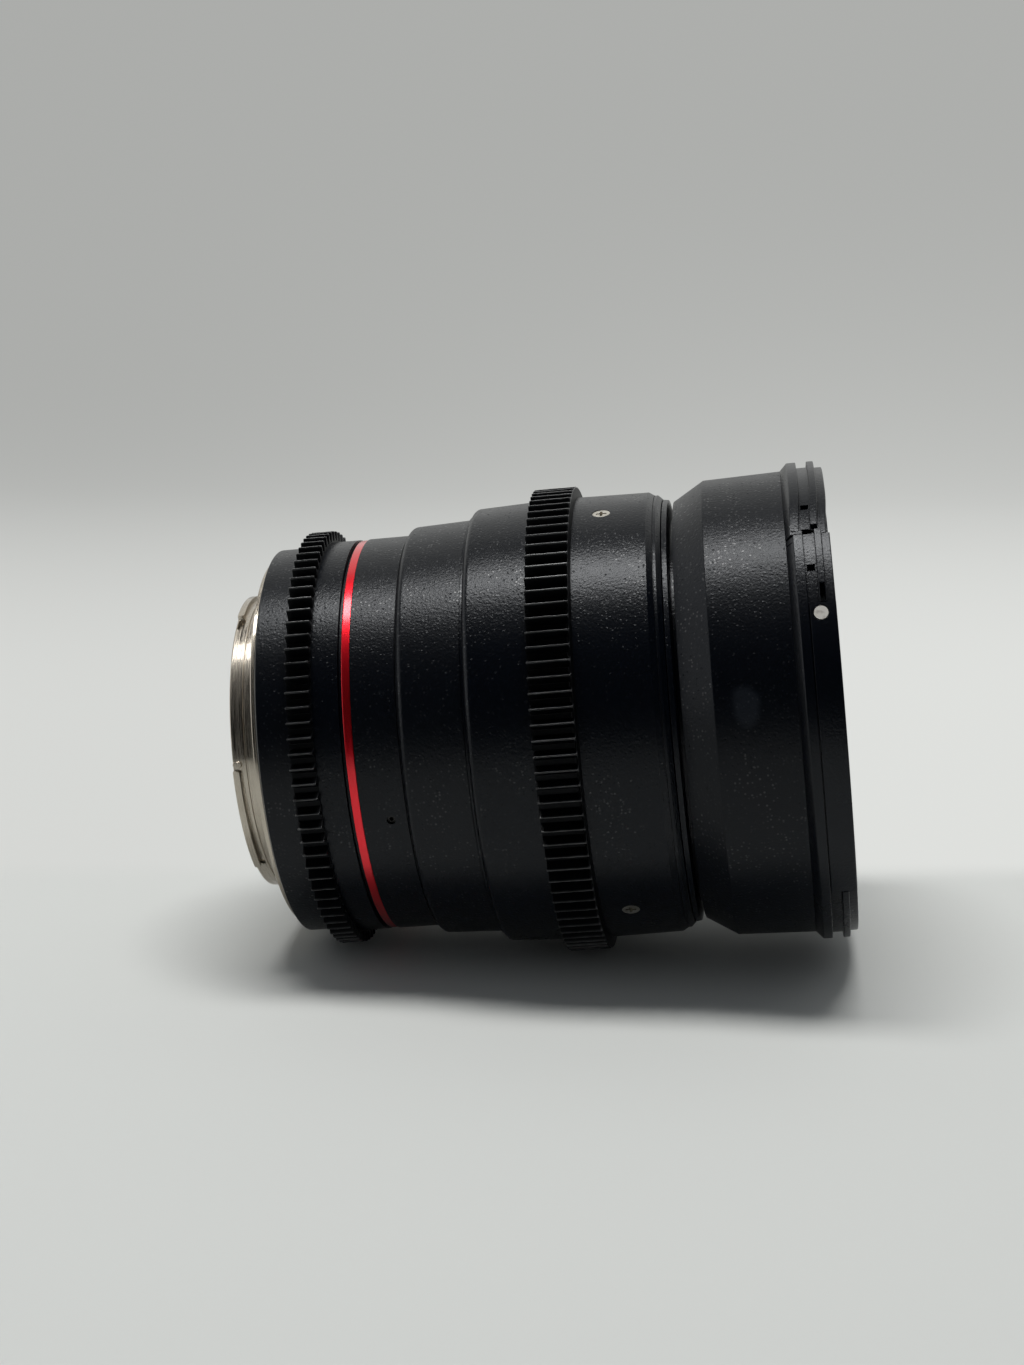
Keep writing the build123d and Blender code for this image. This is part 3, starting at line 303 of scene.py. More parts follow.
# Points spread evenly by length along an open outline
def resample(outline, count):
    length = np.concatenate([[0.0], np.cumsum(np.hypot(*np.diff(outline, axis=0).T))])
    wanted = np.linspace(0.0, length[-1], count)
    return np.stack([np.interp(wanted, length, outline[:, axis]) for axis in range(2)], -1)


# Satin black paint: fine leather grain, soft raised and sunken dots, a bluish base and a little
# pale dust.  Rubbed dots are glossier than the paint round them, mostly in clusters.  Noise and
# cell scales are per metre, and a pair says where a smooth step starts and ends.  Dots, pits and
# dust have the scale of their cells, the soft edge of a spot and the share of cells drawn.
blackWear = {
    "base": (0.0008, 0.0016, 0.0036, 1.0),
    "worn": (0.05, 0.05, 0.048, 1.0),
    "tint": (0.94, 0.965, 1.0, 1.0),
    "grain": 2200.0,
    "grainHeight": 0.00005,
    "cloud": 80.0,
    "patch": 150.0,
    "patchEdge": (0.44, 0.60),
    "dots": (1500.0, (0.38, 0.12), (0.30, 0.60)),
    "dotHeight": 0.00002,
    "pits": (1300.0, (0.32, 0.08), (0.62, 0.70)),
    "pitHeight": 0.00003,
    "dust": (1700.0, (0.20, 0.08), (0.955, 0.975)),
    "dustCloud": (0.42, 0.6),
    "rub": 0.75,
    "loneRub": 0.2,
    "rubGloss": 0.05,
    "dull": 0.2,
    "spread": 0.06,
}

# A finger's smudge on the front barrel: its place, half sizes, colour and ragged edge
smudge = {
    "radius": 0.04,
    "place": 0.0819,
    "arc": 0.008,
    "halfWidth": 0.0024,
    "halfHeight": 0.0034,
    "colour": (0.009, 0.011, 0.015, 1.0),
    "ragged": 1.6,
    "edge": (1.1, 0.6),
}


# The smudge's share at a place: 1 inside a ragged ellipse, 0 outside
def smudgeShare(look, cloud):
    x, arc = look.turnedPlace(smudge["radius"])[:2]
    aside = (x - smudge["place"]) / smudge["halfWidth"]
    along = (arc - smudge["arc"]) / smudge["halfHeight"]
    away = (aside * aside + along * along) ** 0.5 + (cloud - 0.5) * smudge["ragged"]
    return look.ease(away, *smudge["edge"])


def blackFinish(name, roughness=0.325, dots=1.0, dust=0.2, shine=0.235, smudged=False):
    wear = blackWear
    look = Look(name, {"Specular IOR Level": shine, "Specular Tint": wear["tint"],
                       "Coat Roughness": roughness - wear["rubGloss"]})
    spot = look.spot()
    grain = look.noise(spot, wear["grain"], 2.0, 0.55)
    cloud = look.noise(spot, wear["cloud"], 3.0, 0.6)
    patch = look.ease(look.noise(spot, wear["patch"], 2.0), *wear["patchEdge"])
    raised = look.spots(spot, *wear["dots"])
    sunken = look.spots(spot, *wear["pits"])
    pale = look.spots(spot, *wear["dust"]) * look.ease(cloud, *wear["dustCloud"]) * dust
    base = look.blend(pale, wear["base"], wear["worn"])
    if smudged:
        base = look.blend(smudgeShare(look, cloud), base, smudge["colour"])
    look.feed("Base Color", base)
    look.feed("Roughness", roughness - wear["spread"] / 2 + cloud * wear["spread"]
              + (pale + sunken * dots) * wear["dull"])
    rubbed = wear["loneRub"] + patch * (1 - wear["loneRub"])
    look.feed("Coat Weight", raised * rubbed * (wear["rub"] * dots))
    fine = look.bump(grain, 1.0, wear["grainHeight"])
    risen = look.bump(raised * dots, 1.0, wear["dotHeight"], fine)
    look.feed("Normal", look.bump(sunken * -dots, 1.0, wear["pitHeight"], risen))
    return look


# Worn tooth crests: a little paler and smoother than the valleys, in a band under the tip
toothWear = {
    "valley": (0.0008, 0.0011, 0.0018, 1.0),
    "chipped": (0.02, 0.021, 0.023, 1.0),
    "shine": 0.12,
    "coat": 0.3,
    "band": (0.00035, 0.0001),
    "cloud": 500.0,
    "chipEdge": (0.40, 0.62),
    "roughness": 0.42,
    "smoother": 0.12,
    "spread": 0.06,
    "grain": 3000.0,
    "strength": 0.35,
    "height": 0.00003,
}


def toothFinish(name, nodeName):
    wear = toothWear
    look = Look(name, {"Specular IOR Level": wear["shine"], "Specular Tint": blackWear["tint"],
                       "Coat Roughness": wear["coat"]})
    spot = look.spot()
    tip = reach(nodeName)[2] * mm
    out = look.turnedPlace(tip)[2]
    cloud = look.noise(spot, wear["cloud"], 3.0, 0.6)
    worn = look.ease(out, tip - wear["band"][0], tip - wear["band"][1])
    chipped = worn * look.ease(cloud, *wear["chipEdge"])
    look.feed("Base Color", look.blend(chipped, wear["valley"], wear["chipped"]))
    look.feed("Roughness", wear["roughness"] - worn * wear["smoother"] + cloud * wear["spread"])
    look.feed("Coat Weight", worn)
    grain = look.noise(spot, wear["grain"])
    look.feed("Normal", look.bump(grain, wear["strength"], wear["height"]))
    return look


# Matt black for what faces the glass or sits inside
mattWear = {
    "dark": grey(0.004),
    "pale": grey(0.010),
    "shine": 0.2,
    "cloud": 160.0,
    "roughness": 0.6,
    "spread": 0.15,
    "grain": 4000.0,
    "strength": 0.3,
    "height": 0.00002,
}


def mattFinish(name):
    look = Look(name, {"Specular IOR Level": mattWear["shine"]})
    spot = look.spot()
    cloud = look.noise(spot, mattWear["cloud"], 3.0)
    look.feed("Base Color", look.blend(cloud, mattWear["dark"], mattWear["pale"]))
    look.vary(mattWear, cloud, look.noise(spot, mattWear["grain"]))
    return look


# Turned metal: fine lines round the axis, from noise that changes fast along it and out from it,
# with stains and short scratches
metalWear = {
    "radius": 26.0 * mm,
    "around": 60.0,
    "strength": 0.5,
    "height": 0.000006,
    "cloud": 120.0,
    "stainEdge": (0.42, 0.7),
    "stain": (0.55, 0.52, 0.46),
    "scratch": (2500.0, 500.0),
    "scratchEdge": (0.6, 0.8),
    "scratchDull": 0.15,
}


def turnedMetal(name, colour, roughness, lines=30000.0, stain=0.3, rough=0.12, low=0.0, high=1.0):
    look = Look(name, {"Metallic": 1.0})
    x, arc, out = look.turnedPlace(metalWear["radius"])
    stretched = look.pack(x * lines, arc * metalWear["around"], out * lines)
    brushed = look.noise(stretched, 1.0, 3.0, 0.7)
    cloud = look.noise(look.spot(), metalWear["cloud"], 4.0, 0.6)
    across, along = metalWear["scratch"]
    scratch = look.noise(look.pack(x * across, arc * along, out * across), 1.0, 2.0)
    dull = look.ease(cloud, *metalWear["stainEdge"]) * stain
    dark = grey(1.0, [part * share for part, share in zip(colour, metalWear["stain"])])
    look.feed("Base Color", look.blend(dull, grey(1.0, colour), dark))
    look.feed("Roughness", roughness + look.ease(brushed, low, high) * rough
              + look.ease(scratch, *metalWear["scratchEdge"]) * metalWear["scratchDull"])
    look.feed("Normal", look.bump(brushed, metalWear["strength"], metalWear["height"]))
    return look


# Red anodised band: metal under a clear layer, with turned lines
redWear = {
    "bright": (0.85, 0.006, 0.02, 1.0),
    "deep": (0.7, 0.004, 0.015, 1.0),
    "metallic": 0.95,
    "coat": 0.8,
    "coatRoughness": 0.18,
    "radius": 34.5 * mm,
    "lines": (26000.0, 300.0, 4000.0),
    "cloud": 300.0,
    "roughness": 0.24,
    "spread": 0.16,
    "strength": 0.35,
    "height": 0.000008,
}


def redFinish():
    wear = redWear
    look = Look("redAnodised", {"Metallic": wear["metallic"], "Coat Weight": wear["coat"],
                                "Coat Roughness": wear["coatRoughness"]})
    place = look.turnedPlace(wear["radius"])
    stretched = look.pack(*(part * scale for part, scale in zip(place, wear["lines"])))
    lines = look.noise(stretched, 1.0, 2.0)
    cloud = look.noise(look.spot(), wear["cloud"], 3.0)
    look.feed("Base Color", look.blend(cloud, wear["bright"], wear["deep"]))
    look.vary(wear, lines, lines)
    return look


# Enamel of the index dots, worn darker in places
dotWear = {
    "coat": 0.3,
    "cloud": 900.0,
    "wornEdge": (0.5, 0.75),
    "worn": (0.55, 0.52, 0.5),
    "roughness": 0.35,
    "spread": 0.2,
    "strength": 0.3,
    "height": 0.00003,
}


def dotFinish(name, colour):
    wear = dotWear
    look = Look(name, {"Coat Weight": wear["coat"]})
    cloud = look.noise(look.spot(), wear["cloud"], 3.0)
    worn = look.ease(cloud, *wear["wornEdge"])
    dark = grey(1.0, [part * share for part, share in zip(colour, wear["worn"])])
    look.feed("Base Color", look.blend(worn, grey(1.0, colour), dark))
    look.vary(wear, cloud, cloud)
    return look


# Coated glass: clear, with a faint coloured reflection and a little dust
glassWear = {
    "bend": 1.6,
    "coat": 0.25,
    "cloud": 200.0,
    "clear": (0.96, 0.98, 0.97, 1.0),
    "dim": (0.93, 0.96, 0.96, 1.0),
    "roughness": 0.005,
    "spread": 0.02,
    "dustEdge": (0.55, 0.8),
}


def glassFinish(name, tint):
    wear = glassWear
    look = Look(name, {"IOR": wear["bend"], "Transmission Weight": 1.0,
                       "Coat Weight": wear["coat"], "Specular Tint": tint})
    cloud = look.noise(look.spot(), wear["cloud"], 3.0)
    dusty = look.ease(cloud, *wear["dustEdge"])
    look.feed("Roughness", wear["roughness"] + dusty * wear["spread"])
    look.feed("Base Color", look.blend(cloud, wear["clear"], wear["dim"]))
    return look


shellLook = blackFinish("satinBlack")
ringLook = blackFinish("satinBlackRing", 0.285, shine=0.21)
rimLook = blackFinish("rimBlack", 0.28, 0.25, shine=0.25)
barrelLook = blackFinish("smudgedBlack", shine=0.205, smudged=True)
apertureToothLook = toothFinish("apertureToothBlack", "aperture_gear")
focusToothLook = toothFinish("focusToothBlack", "focus_gear")
mattLook = mattFinish("mattBlack")
mountLook = turnedMetal("turnedSteel", (0.48, 0.435, 0.37), 0.06, rough=0.55, low=0.42, high=0.66)
screwLook = turnedMetal("nickelScrew", (0.66, 0.63, 0.57), 0.3, 9000.0, 0.6)
darkScrewLook = turnedMetal("blackenedScrew", (0.03, 0.03, 0.03), 0.35, 9000.0)
bladeLook = turnedMetal("blackenedBlade", (0.05, 0.05, 0.055), 0.4, 9000.0)
redLook = redFinish()
whiteDotLook = dotFinish("whiteDot", (0.56, 0.54, 0.50))
redDotLook = dotFinish("redDot", (0.55, 0.015, 0.02))
glassLook = glassFinish("coatedGlass", (0.55, 0.8, 0.62, 1.0))
deepGlassLook = glassFinish("deepGlass", (0.7, 0.5, 0.85, 1.0))

finishes = {
    shellLook: "rear_shell label_sleeve index_sleeve barrel_lock_ring front_barrel filter_ring",
    rimLook: "front_rim",
    ringLook: "aperture_sleeve focus_scale_ring focus_sleeve focus_end_ring",
    apertureToothLook: "aperture_gear",
    focusToothLook: "focus_gear",
    mattLook: "mount_baffle front_bezel core_barrel focus_cam_tube front_cell rear_cell "
              "rear_retainer focus_carriage focus_retainer iris_housing iris_cover "
              "iris_drive_ring iris_drive_arm",
    mountLook: "bayonet_mount",
    screwLook: "mount_screws focus_screws aperture_link_screw rear_cell_screws "
               "iris_pivot_pins focus_rollers",
    darkScrewLook: "baffle_screws sleeve_set_screws",
    redLook: "accent_ring",
    redDotLook: "mount_index_dot",
    whiteDotLook: "hood_index_dot",
    glassLook: "front_glass_1 front_glass_3 focus_glass_1 focus_glass_3 rear_glass_1 "
               "rear_glass_3 rear_glass_5",
    deepGlassLook: "front_glass_2 front_glass_4 focus_glass_2 focus_glass_4 rear_glass_2 "
                   "rear_glass_4",
    bladeLook: " ".join("iris_blade_" + str(index + 1) for index in range(8)),
}
for look, names in finishes.items():
    for nodeName in names.split():
        node = nodes[nodeName]
        if node.material_slots:
            for slot in node.material_slots:
                slot.material = look.material
        else:
            node.data.materials.append(look.material)
print("finishes on all nodes")

# Sleeves: the wall of each ring, the rounding of its edges and the seam at its foot
sleeve = {
    "arcSteps": 8,
    "edge": 0.14,
    "footLength": 0.5,
    "footDrop": 1.25,
    "footReach": 0.25,
    "shellWall": 2.57,
    "accentWall": 0.73,
    "accentRound": 0.16,
    "indexWall": 1.49,
    "scaleSpace": 1.55,
    "seamWidth": 0.13,
    "seamDepth": 0.3,
    "seamRound": 0.04,
    "shoulderLength": 0.62,
    "shoulderRound": 1.05,
    "shoulderFoot": 0.1,
    "rise": 0.42,
}


def makeRearShell():
    rear, front, radius = reach("rear_shell")
    bore = radius - sleeve["shellWall"]
    foot = rear - sleeve["footLength"]
    low = radius - sleeve["footDrop"]
    corners = [
        (rear, bore, 0),
        (front, bore, 0),
        (front, radius, sleeve["edge"]),
        (rear, radius, sleeve["edge"]),
        (foot, low, sleeve["edge"] / 2),
        (foot, low - sleeve["footReach"], 0),
        (rear, low - sleeve["footReach"], 0),
    ]
    dress(ring("rearShell", corners, steps=sleeve["arcSteps"]), shellLook,
          "barrel", "rear_shell")


def makeAccentRing():
    rear, front, radius = reach("accent_ring")
    bore = radius - sleeve["accentWall"]
    corners = [
        (rear, bore, 0),
        (front, bore, 0),
        (front, radius, sleeve["accentRound"]),
        (rear, radius, sleeve["accentRound"]),
    ]
    dress(ring("accentBand", corners), redLook, "barrel", "accent_ring")


# A sleeve one step larger than the one behind it: a narrow seam, a rounded shoulder, a plain wall
def steppedSleeve(name, nodeName, behind, bore, look, body):
    rear, front, radius = reach(nodeName)
    seam = rear + sleeve["seamWidth"]
    floor = behind - sleeve["seamDepth"]
    shoulder = seam + sleeve["shoulderLength"]
    corners = [
        (rear, bore, 0),
        (front, bore, 0),
        (front, radius, sleeve["edge"]),
        (shoulder, radius - sleeve["rise"], sleeve["shoulderRound"]),
        (seam, behind + sleeve["shoulderFoot"], sleeve["edge"]),
        (seam, floor, sleeve["seamRound"]),
        (rear, floor, 0),
    ]
    dress(ring(name, corners, steps=sleeve["arcSteps"]), look, body, nodeName)


makeRearShell()
makeAccentRing()
labelRadius = reach("label_sleeve")[2]
indexRadius = reach("index_sleeve")[2]
scaleRadius = reach("focus_scale_ring")[2]
focusBore = scaleRadius - sleeve["scaleSpace"]
steppedSleeve("indexSleeve", "index_sleeve", labelRadius, labelRadius - sleeve["indexWall"],
              shellLook, "barrel")
steppedSleeve("scaleSleeve", "focus_scale_ring", indexRadius, focusBore,
              ringLook, "focus_ring")
print("sleeves made")

# Bayonet mount: tube, flange, claws, and the small cuts beside the claws.  Clocks are in degrees;
# a zone is the reach of finer columns to each side of a place, and their step.
mount = {
    "flangeReach": 6.8,
    "tubeWall": 1.7,
    "edge": 0.16,
    "edgePoints": 5,
    "flangeBevel": 0.12,
    "flangeRounds": (0.06, 0.1, 0.04),
    "flangeBand": 0.68,
    "flangeFront": 1.3,
    "spigot": 1.4,
    "web": (-4.3, -2.7),
    "webDepth": 4.3,
    "clawFront": -4.1,
    "clawHeight": 0.75,
    "clawRound": 0.5,
    "claws": ((-43.0, 45.0), (69.5, 48.0), (190.0, 52.0)),
    "clawZone": (2.6, 0.16),
    "cutClocks": (-43.0, 2.0),
    "cutWidth": (0.75, 0.3),
    "cutDepth": 0.5,
    "cutRound": 0.15,
    "padPlace": (-4.55, 4.0),
    "padSize": (0.9, 0.62),
    "padHeight": 0.32,
    "padEdge": (0.8, 1.0),
    "padCut": 1.2,
    "padZone": (3.0, 0.2),
    "pocketPlace": (-4.42, 65.8),
    "pocketSize": (0.52, 1.45),
    "pocketDepth": 1.0,
    "pocketRound": 0.2,
    "pocketSoft": 0.06,
    "pocketZone": (4.5, 0.2),
    "linePlace": -2.85,
    "lineHalf": 0.2,
    "lineSlope": 2,
    "lineDepth": 0.2,
    "screwInset": 3.1,
    "screwClocks": (45.0, 135.0, 225.0, 315.0),
    "screwZone": (4.2, 0.3),
    "sinkRadius": 1.92,
    "slotClock": 150.0,
    "slotHalf": 1.2,
    "slotLength": 3.2,
    "slotDepth": 0.9,
    "soft": 0.05,
    "thin": 0.01,
    "arcSteps": 3,
    "support": 0.02,
    "clockStep": 1.5,
    "faceStep": 0.17,
    "tubeSteps": (0.12, 0.05, 0.13),
    "fineReach": (0.2, 0.3),
    "sharp": 35.0,
}


# Clocks of the columns, in degrees: even steps, finer ones in zones and a pair at each edge
def clockColumns(step, zones, edges, thin=0.02, clear=0.05):
    parts = [np.arange(-180.0, 180.0, step)]
    parts += [wrapped(np.arange(low, high, fine)) for low, high, fine in zones]
    edges = wrapped(np.array(edges))
    near = np.unique(np.round(np.concatenate(parts), 4))
    near = near[np.abs(near[:, None] - edges[None, :]).min(axis=1) > clear]
    return np.unique(np.concatenate([near, edges - thin, edges + thin]))


# Distance outside a box with rounded corners, of half sizes halfX and halfY; negative inside
def boxDistance(x, y, halfX, halfY, corner):
    outX = np.abs(x) - halfX + corner
    outY = np.abs(y) - halfY + corner
    outside = np.hypot(np.maximum(outX, 0.0), np.maximum(outY, 0.0))
    return outside + np.minimum(np.maximum(outX, outY), 0.0) - corner


# The mount's outline of (x, radius): up the tube, out over the flange and back through the bore.
# With it come the numbers of rows at which the tube and the flange end.
def mountRows(rear, front, tube, flange):
    edge, bevel = mount["edge"], mount["flangeBevel"]
    bandFront, flangeFront = mount["flangeBand"], mount["flangeFront"]
    faceRows = np.arange(tube + edge, flange - bevel, mount["faceStep"])
    faceRound, bevelRound, bandRound = mount["flangeRounds"]
    outer = roundedProfile([(0.0, faceRows[-1], 0), (0.0, flange - bevel, faceRound),
                            (bevel, flange, bevelRound), (bandFront, flange, bandRound),
                            (bandFront, flange - edge, 0), (flangeFront, flange - edge, 0)],
                           mount["arcSteps"], mount["support"])[1:]
    bore, spigot = tube - mount["tubeWall"], tube + mount["spigot"]
    webRear, webFront = mount["web"]
    webBore = bore - mount["webDepth"]
    inner = np.array([(flangeFront, spigot), (front, spigot), (front, bore), (webFront, bore),
                      (webFront, webBore), (webRear, webBore), (webRear, bore), (rear, bore)])
    turn = np.linspace(0.0, math.pi / 2, mount["edgePoints"])
    corner = np.stack([rear + edge - edge * np.cos(turn), tube - edge + edge * np.sin(turn)], -1)
    fineRear = mount["clawFront"] - mount["fineReach"][0]
    fineFront = mount["linePlace"] + mount["fineReach"][1]
    clawStep, fineStep, plainStep = mount["tubeSteps"]
    tubeRows = np.concatenate([np.arange(rear + edge + mount["soft"], fineRear, clawStep),
                               np.arange(fineRear, fineFront, fineStep),
                               np.arange(fineFront, -mount["soft"], plainStep)])
    rows = np.vstack([corner, np.stack([tubeRows, np.full(len(tubeRows), tube)], -1),
                      np.stack([np.zeros(len(faceRows)), faceRows], -1), outer, inner])
    tubeEnd = len(corner) + len(tubeRows)
    return rows, tubeEnd, tubeEnd + len(faceRows) + len(outer)


# The mount's columns: finer ones at the ends of the claws, at the pocket, the pad and the screws
def mountClocks(slotHalf):
    ends = [place for start, span in mount["claws"] for place in (start, start + span)]
    finer = [(place, mount["clawZone"]) for place in ends]
    finer += [(place, mount["screwZone"]) for place in mount["screwClocks"]]
    finer += [(mount[key + "Place"][1], mount[key + "Zone"]) for key in ("pocket", "pad")]
    zones = [(place - side, place + side, step) for place, (side, step) in finer]
    slotClock = mount["slotClock"]
    return clockColumns(mount["clockStep"], zones, [slotClock - slotHalf, slotClock + slotHalf])


# How far the tube's skin is moved outwards: claws and the pad raise it, the cut, the pocket and
# the line lower it
def tubeRelief(place, clock, rear, perMm):
    soft, clawFront = mount["soft"], mount["clawFront"]
    padX, padClock = mount["padPlace"]
    padLength, padWidth = mount["padSize"]
    away = np.hypot((place - padX) / padLength, (clock - padClock)[None, :] / perMm / padWidth)
    pad = 1 - ease(away, *mount["padEdge"])
    lift = mount["padHeight"] * pad * (clock > padClock - mount["padCut"])[None, :]
    middle = (rear - mount["edge"] + clawFront) / 2
    for start, span in mount["claws"]:
        arc = wrapped(clock - start - span / 2)[None, :] / perMm
        away = boxDistance(place - middle, arc, clawFront - middle, span / 2 / perMm,
                           mount["clawRound"])
        lift = np.maximum(lift, mount["clawHeight"] * (1 - ease(away, -soft, soft)))
    low, high = mount["cutClocks"]
    share = np.clip((clock - low) / (high - low), 0.0, 1.0)[None, :]
    width = mount["cutWidth"][0] * (1 - share) + mount["cutWidth"][1] * share
    across = ((clock - (low + high) / 2) / perMm)[None, :]
    away = boxDistance(place - clawFront - width / 2, across, width / 2,
                       (high - low) / 2 / perMm, mount["cutRound"])
    cut = mount["cutDepth"] * (1 - ease(away, -soft, soft)) * (place > clawFront - mount["thin"])
    pocketX, pocketClock = mount["pocketPlace"]
    away = boxDistance(place - pocketX, (clock - pocketClock)[None, :] / perMm,
                       *mount["pocketSize"], mount["pocketRound"])
    pocket = 1 - ease(away, -mount["pocketSoft"], mount["pocketSoft"])
    line = np.clip(1 - np.abs(place - mount["linePlace"]) / mount["lineHalf"], 0.0, 1.0)
    line = mount["lineDepth"] * np.minimum(line * mount["lineSlope"], 1.0)
    return lift - np.maximum(cut, mount["pocketDepth"] * pocket) - line


# The flange's face, moved forward in the cones of the screw sinks and in the lock slot
def flangeFace(x, radius, clock, onFace, flange, slotHalf):
    turned = np.radians(clock)[None, :]
    circle = flange - mount["screwInset"]
    for centre in np.radians(mount["screwClocks"]):
        away = np.hypot(radius * np.cos(turned) - circle * math.cos(centre),
                        radius * np.sin(turned) - circle * math.sin(centre))
        x = x + onFace * np.maximum(mount["sinkRadius"] - away, 0.0)
    aside = np.abs(wrapped(clock - mount["slotClock"])) < slotHalf
    slot = onFace & aside[None, :] & (radius > flange - mount["slotLength"])
    return np.where(slot, np.maximum(x, mount["slotDepth"]), x)


# The mount: its outline carried round the axis, with the tube's relief added to the radius and
# the face's to x
def makeMount():
    rear, front, flange = reach("bayonet_mount")
    tube = flange - mount["flangeReach"]
    rows, tubeEnd, faceEnd = mountRows(rear, front, tube, flange)
    slotHalf = math.degrees(mount["slotHalf"] / flange)
    clock = mountClocks(slotHalf)
    row = np.arange(len(rows))[:, None]
    relief = tubeRelief(rows[:, :1], clock, rear, math.degrees(1.0 / tube))
    radius = rows[:, 1:] + (row < tubeEnd) * relief
    x = np.repeat(rows[:, :1], len(clock), axis=1)
    x = flangeFace(x, radius, clock, (row >= tubeEnd) & (row < faceEnd), flange, slotHalf)
    points = turnedPoint(x, radius, np.radians(clock)[None, :])
    piece = meshFromGrid("bayonetMount", points, True, True, sharp=mount["sharp"])
    dress(piece, mountLook, "barrel", "bayonet_mount")


makeMount()
print("mount made")

# Gears: sizes of a tooth, its roundings, the chamfer at its ends, the wear of its crest and the
# wall that closes its valleys
gear = {
    "module": 0.8,
    "crest": 0.2,
    "depth": 1.8,
    "flankAngle": 20.0,
    "crestRound": 0.08,
    "rootRound": 0.22,
    "arcSteps": 4,
    "support": 0.03,
    "endChamfer": 0.14,
    "wear": 0.06,
    "wearKnots": 7,
    "wearShare": 0.7,
    "stations": 36,
    "seed": 11,
    "apertureRim": 0.65,
    "wall": 0.4,
    "wallDrop": 0.1,
    "wallLean": 4.0,
    "wallStations": 4,
    "flank": 0.28,
    "sharp": 50.0,
}


# One tooth and half a valley on each side of it, as (way round, height above the valley) points
def toothOutline(pitch):
    depth = gear["depth"]
    crest = gear["crest"] / 2
    root = crest + depth * math.tan(math.radians(gear["flankAngle"]))
    corners = [
        (-pitch / 2, 0, 0),
        (-root, 0, gear["rootRound"]),
        (-crest, depth, gear["crestRound"]),
        (crest, depth, gear["crestRound"]),
        (root, 0, gear["rootRound"]),
        (pitch / 2, 0, 0),
    ]
    return roundedProfile(corners, gear["arcSteps"], gear["support"])[:-1]


# A gear: over clock and place along the axis, radius = the tooth outline round the ring, less a
# chamfer near both ends and the wear of that tooth's crest.  A gear with a foot has its valleys
# closed at the front by a thin wall with a sharp rim, whose face leans out to the foot.
def makeGear(name, nodeName, bore, foot, look, body):
    rear, front, tip = reach(nodeName)
    depth, chamfer, knotCount = gear["depth"], gear["endChamfer"], gear["wearKnots"]
    teeth = round(2 * (tip - gear["module"]) / gear["module"])
    pitch = 2 * math.pi * tip / teeth
    tooth = toothOutline(pitch)
    turn = (np.arange(teeth)[:, None] + tooth[None, :, 0] / pitch).ravel()
    clock = turn * 2 * math.pi / teeth
    height = np.tile(tooth[:, 1], teeth)
    even = np.linspace(rear + chamfer, front - chamfer, gear["stations"])
    stations = np.concatenate([[rear, rear + chamfer / 3], even, [front - chamfer / 3, front]])
    if foot:
        wallStations = np.linspace(front - gear["wall"], front, gear["wallStations"])
        stations = np.sort(np.append(stations, wallStations))
    inward = np.minimum(stations - rear, front - stations)
    limit = tip - chamfer * (1 - np.minimum(inward / chamfer, 1.0)) ** 2
    random = np.random.default_rng(gear["seed"])
    knots = random.uniform(0.0, gear["wear"], (knotCount + 1, teeth))
    place = (stations - rear) / (front - rear) * knotCount
    lower = np.minimum(place.astype(int), knotCount - 1)
    share = (place - lower)[:, None]
    wear = knots[lower] * (1 - share) + knots[lower + 1] * share
    wear = np.repeat(wear, len(tooth), axis=1) * ease(height, depth * gear["wearShare"], depth)
    radius = np.minimum(limit[:, None], tip - depth + height) - wear
    if foot:
        wall = tip - gear["wallDrop"] - (front - stations) * gear["wallLean"]
        radius = np.maximum(radius, np.minimum(wall, limit)[:, None])
        radius = np.vstack([radius, np.full((1, len(clock)), foot)])
        stations = np.append(stations, front + gear["flank"])
    inner = np.full((1, len(clock)), bore)
    radius = np.vstack([inner, radius, inner])
    x = np.concatenate([[rear], stations, [stations[-1]]])
    points = turnedPoint(x[:, None], radius, clock[None, :])
    piece = meshFromGrid(name, points, True, True, sharp=gear["sharp"])
    dress(piece, look, body, nodeName)


makeGear("apertureGear", "aperture_gear", reach("aperture_sleeve")[2] - gear["apertureRim"],
         None, apertureToothLook, "aperture_ring")
makeGear("focusGear", "focus_gear", focusBore, reach("focus_sleeve")[2], focusToothLook,
         "focus_ring")
print("gears made")

# End ring, lock ring and front barrel: walls, steps and edge roundings
nose = {
    "edge": 0.12,
    "seam": 0.09,
    "endWall": 5.85,
    "endBand": 0.55,
    "endFall": 0.75,
    "endSpigot": 1.8,
    "spigotDrop": 1.4,
    "spigotWall": 2.2,
    "lockWidth": 0.9,
    "lockFall": 0.4,
    "lockBevel": 0.3,
    "hubDepth": 1.7,
    "hubWall": 2.97,
    "grooveDepth": 1.4,
    "gap": 0.03,
    "barrelWall": 2.6,
    "flareLength": 5.3,
    "flareInset": 0.1,
    "barrelRise": 0.4,
    "creaseRound": 0.5,
    "creaseSteps": 6,
    "hubLength": 6.45,
}


def makeFrontBarrel():
    rear, front, radius = reach("front_barrel")
    lockRadius = reach("barrel_lock_ring")[2] - nose["lockFall"]
    hub = lockRadius - nose["hubDepth"] + nose["gap"]
    hubFront = rear + nose["hubLength"]
    crease = rear + nose["flareLength"]
    bore = radius - nose["barrelWall"]
    corners = [
        (rear, hub, 0),
        (hubFront, hub, 0),
        (hubFront, bore, 0),
        (front, bore, 0),
        (front, radius, 0),
        (crease, radius - nose["barrelRise"], nose["creaseRound"]),
        (rear, lockRadius - nose["flareInset"], 0),
    ]
    dress(ring("frontBarrel", corners, steps=nose["creaseSteps"]), barrelLook,
          "barrel", "front_barrel")


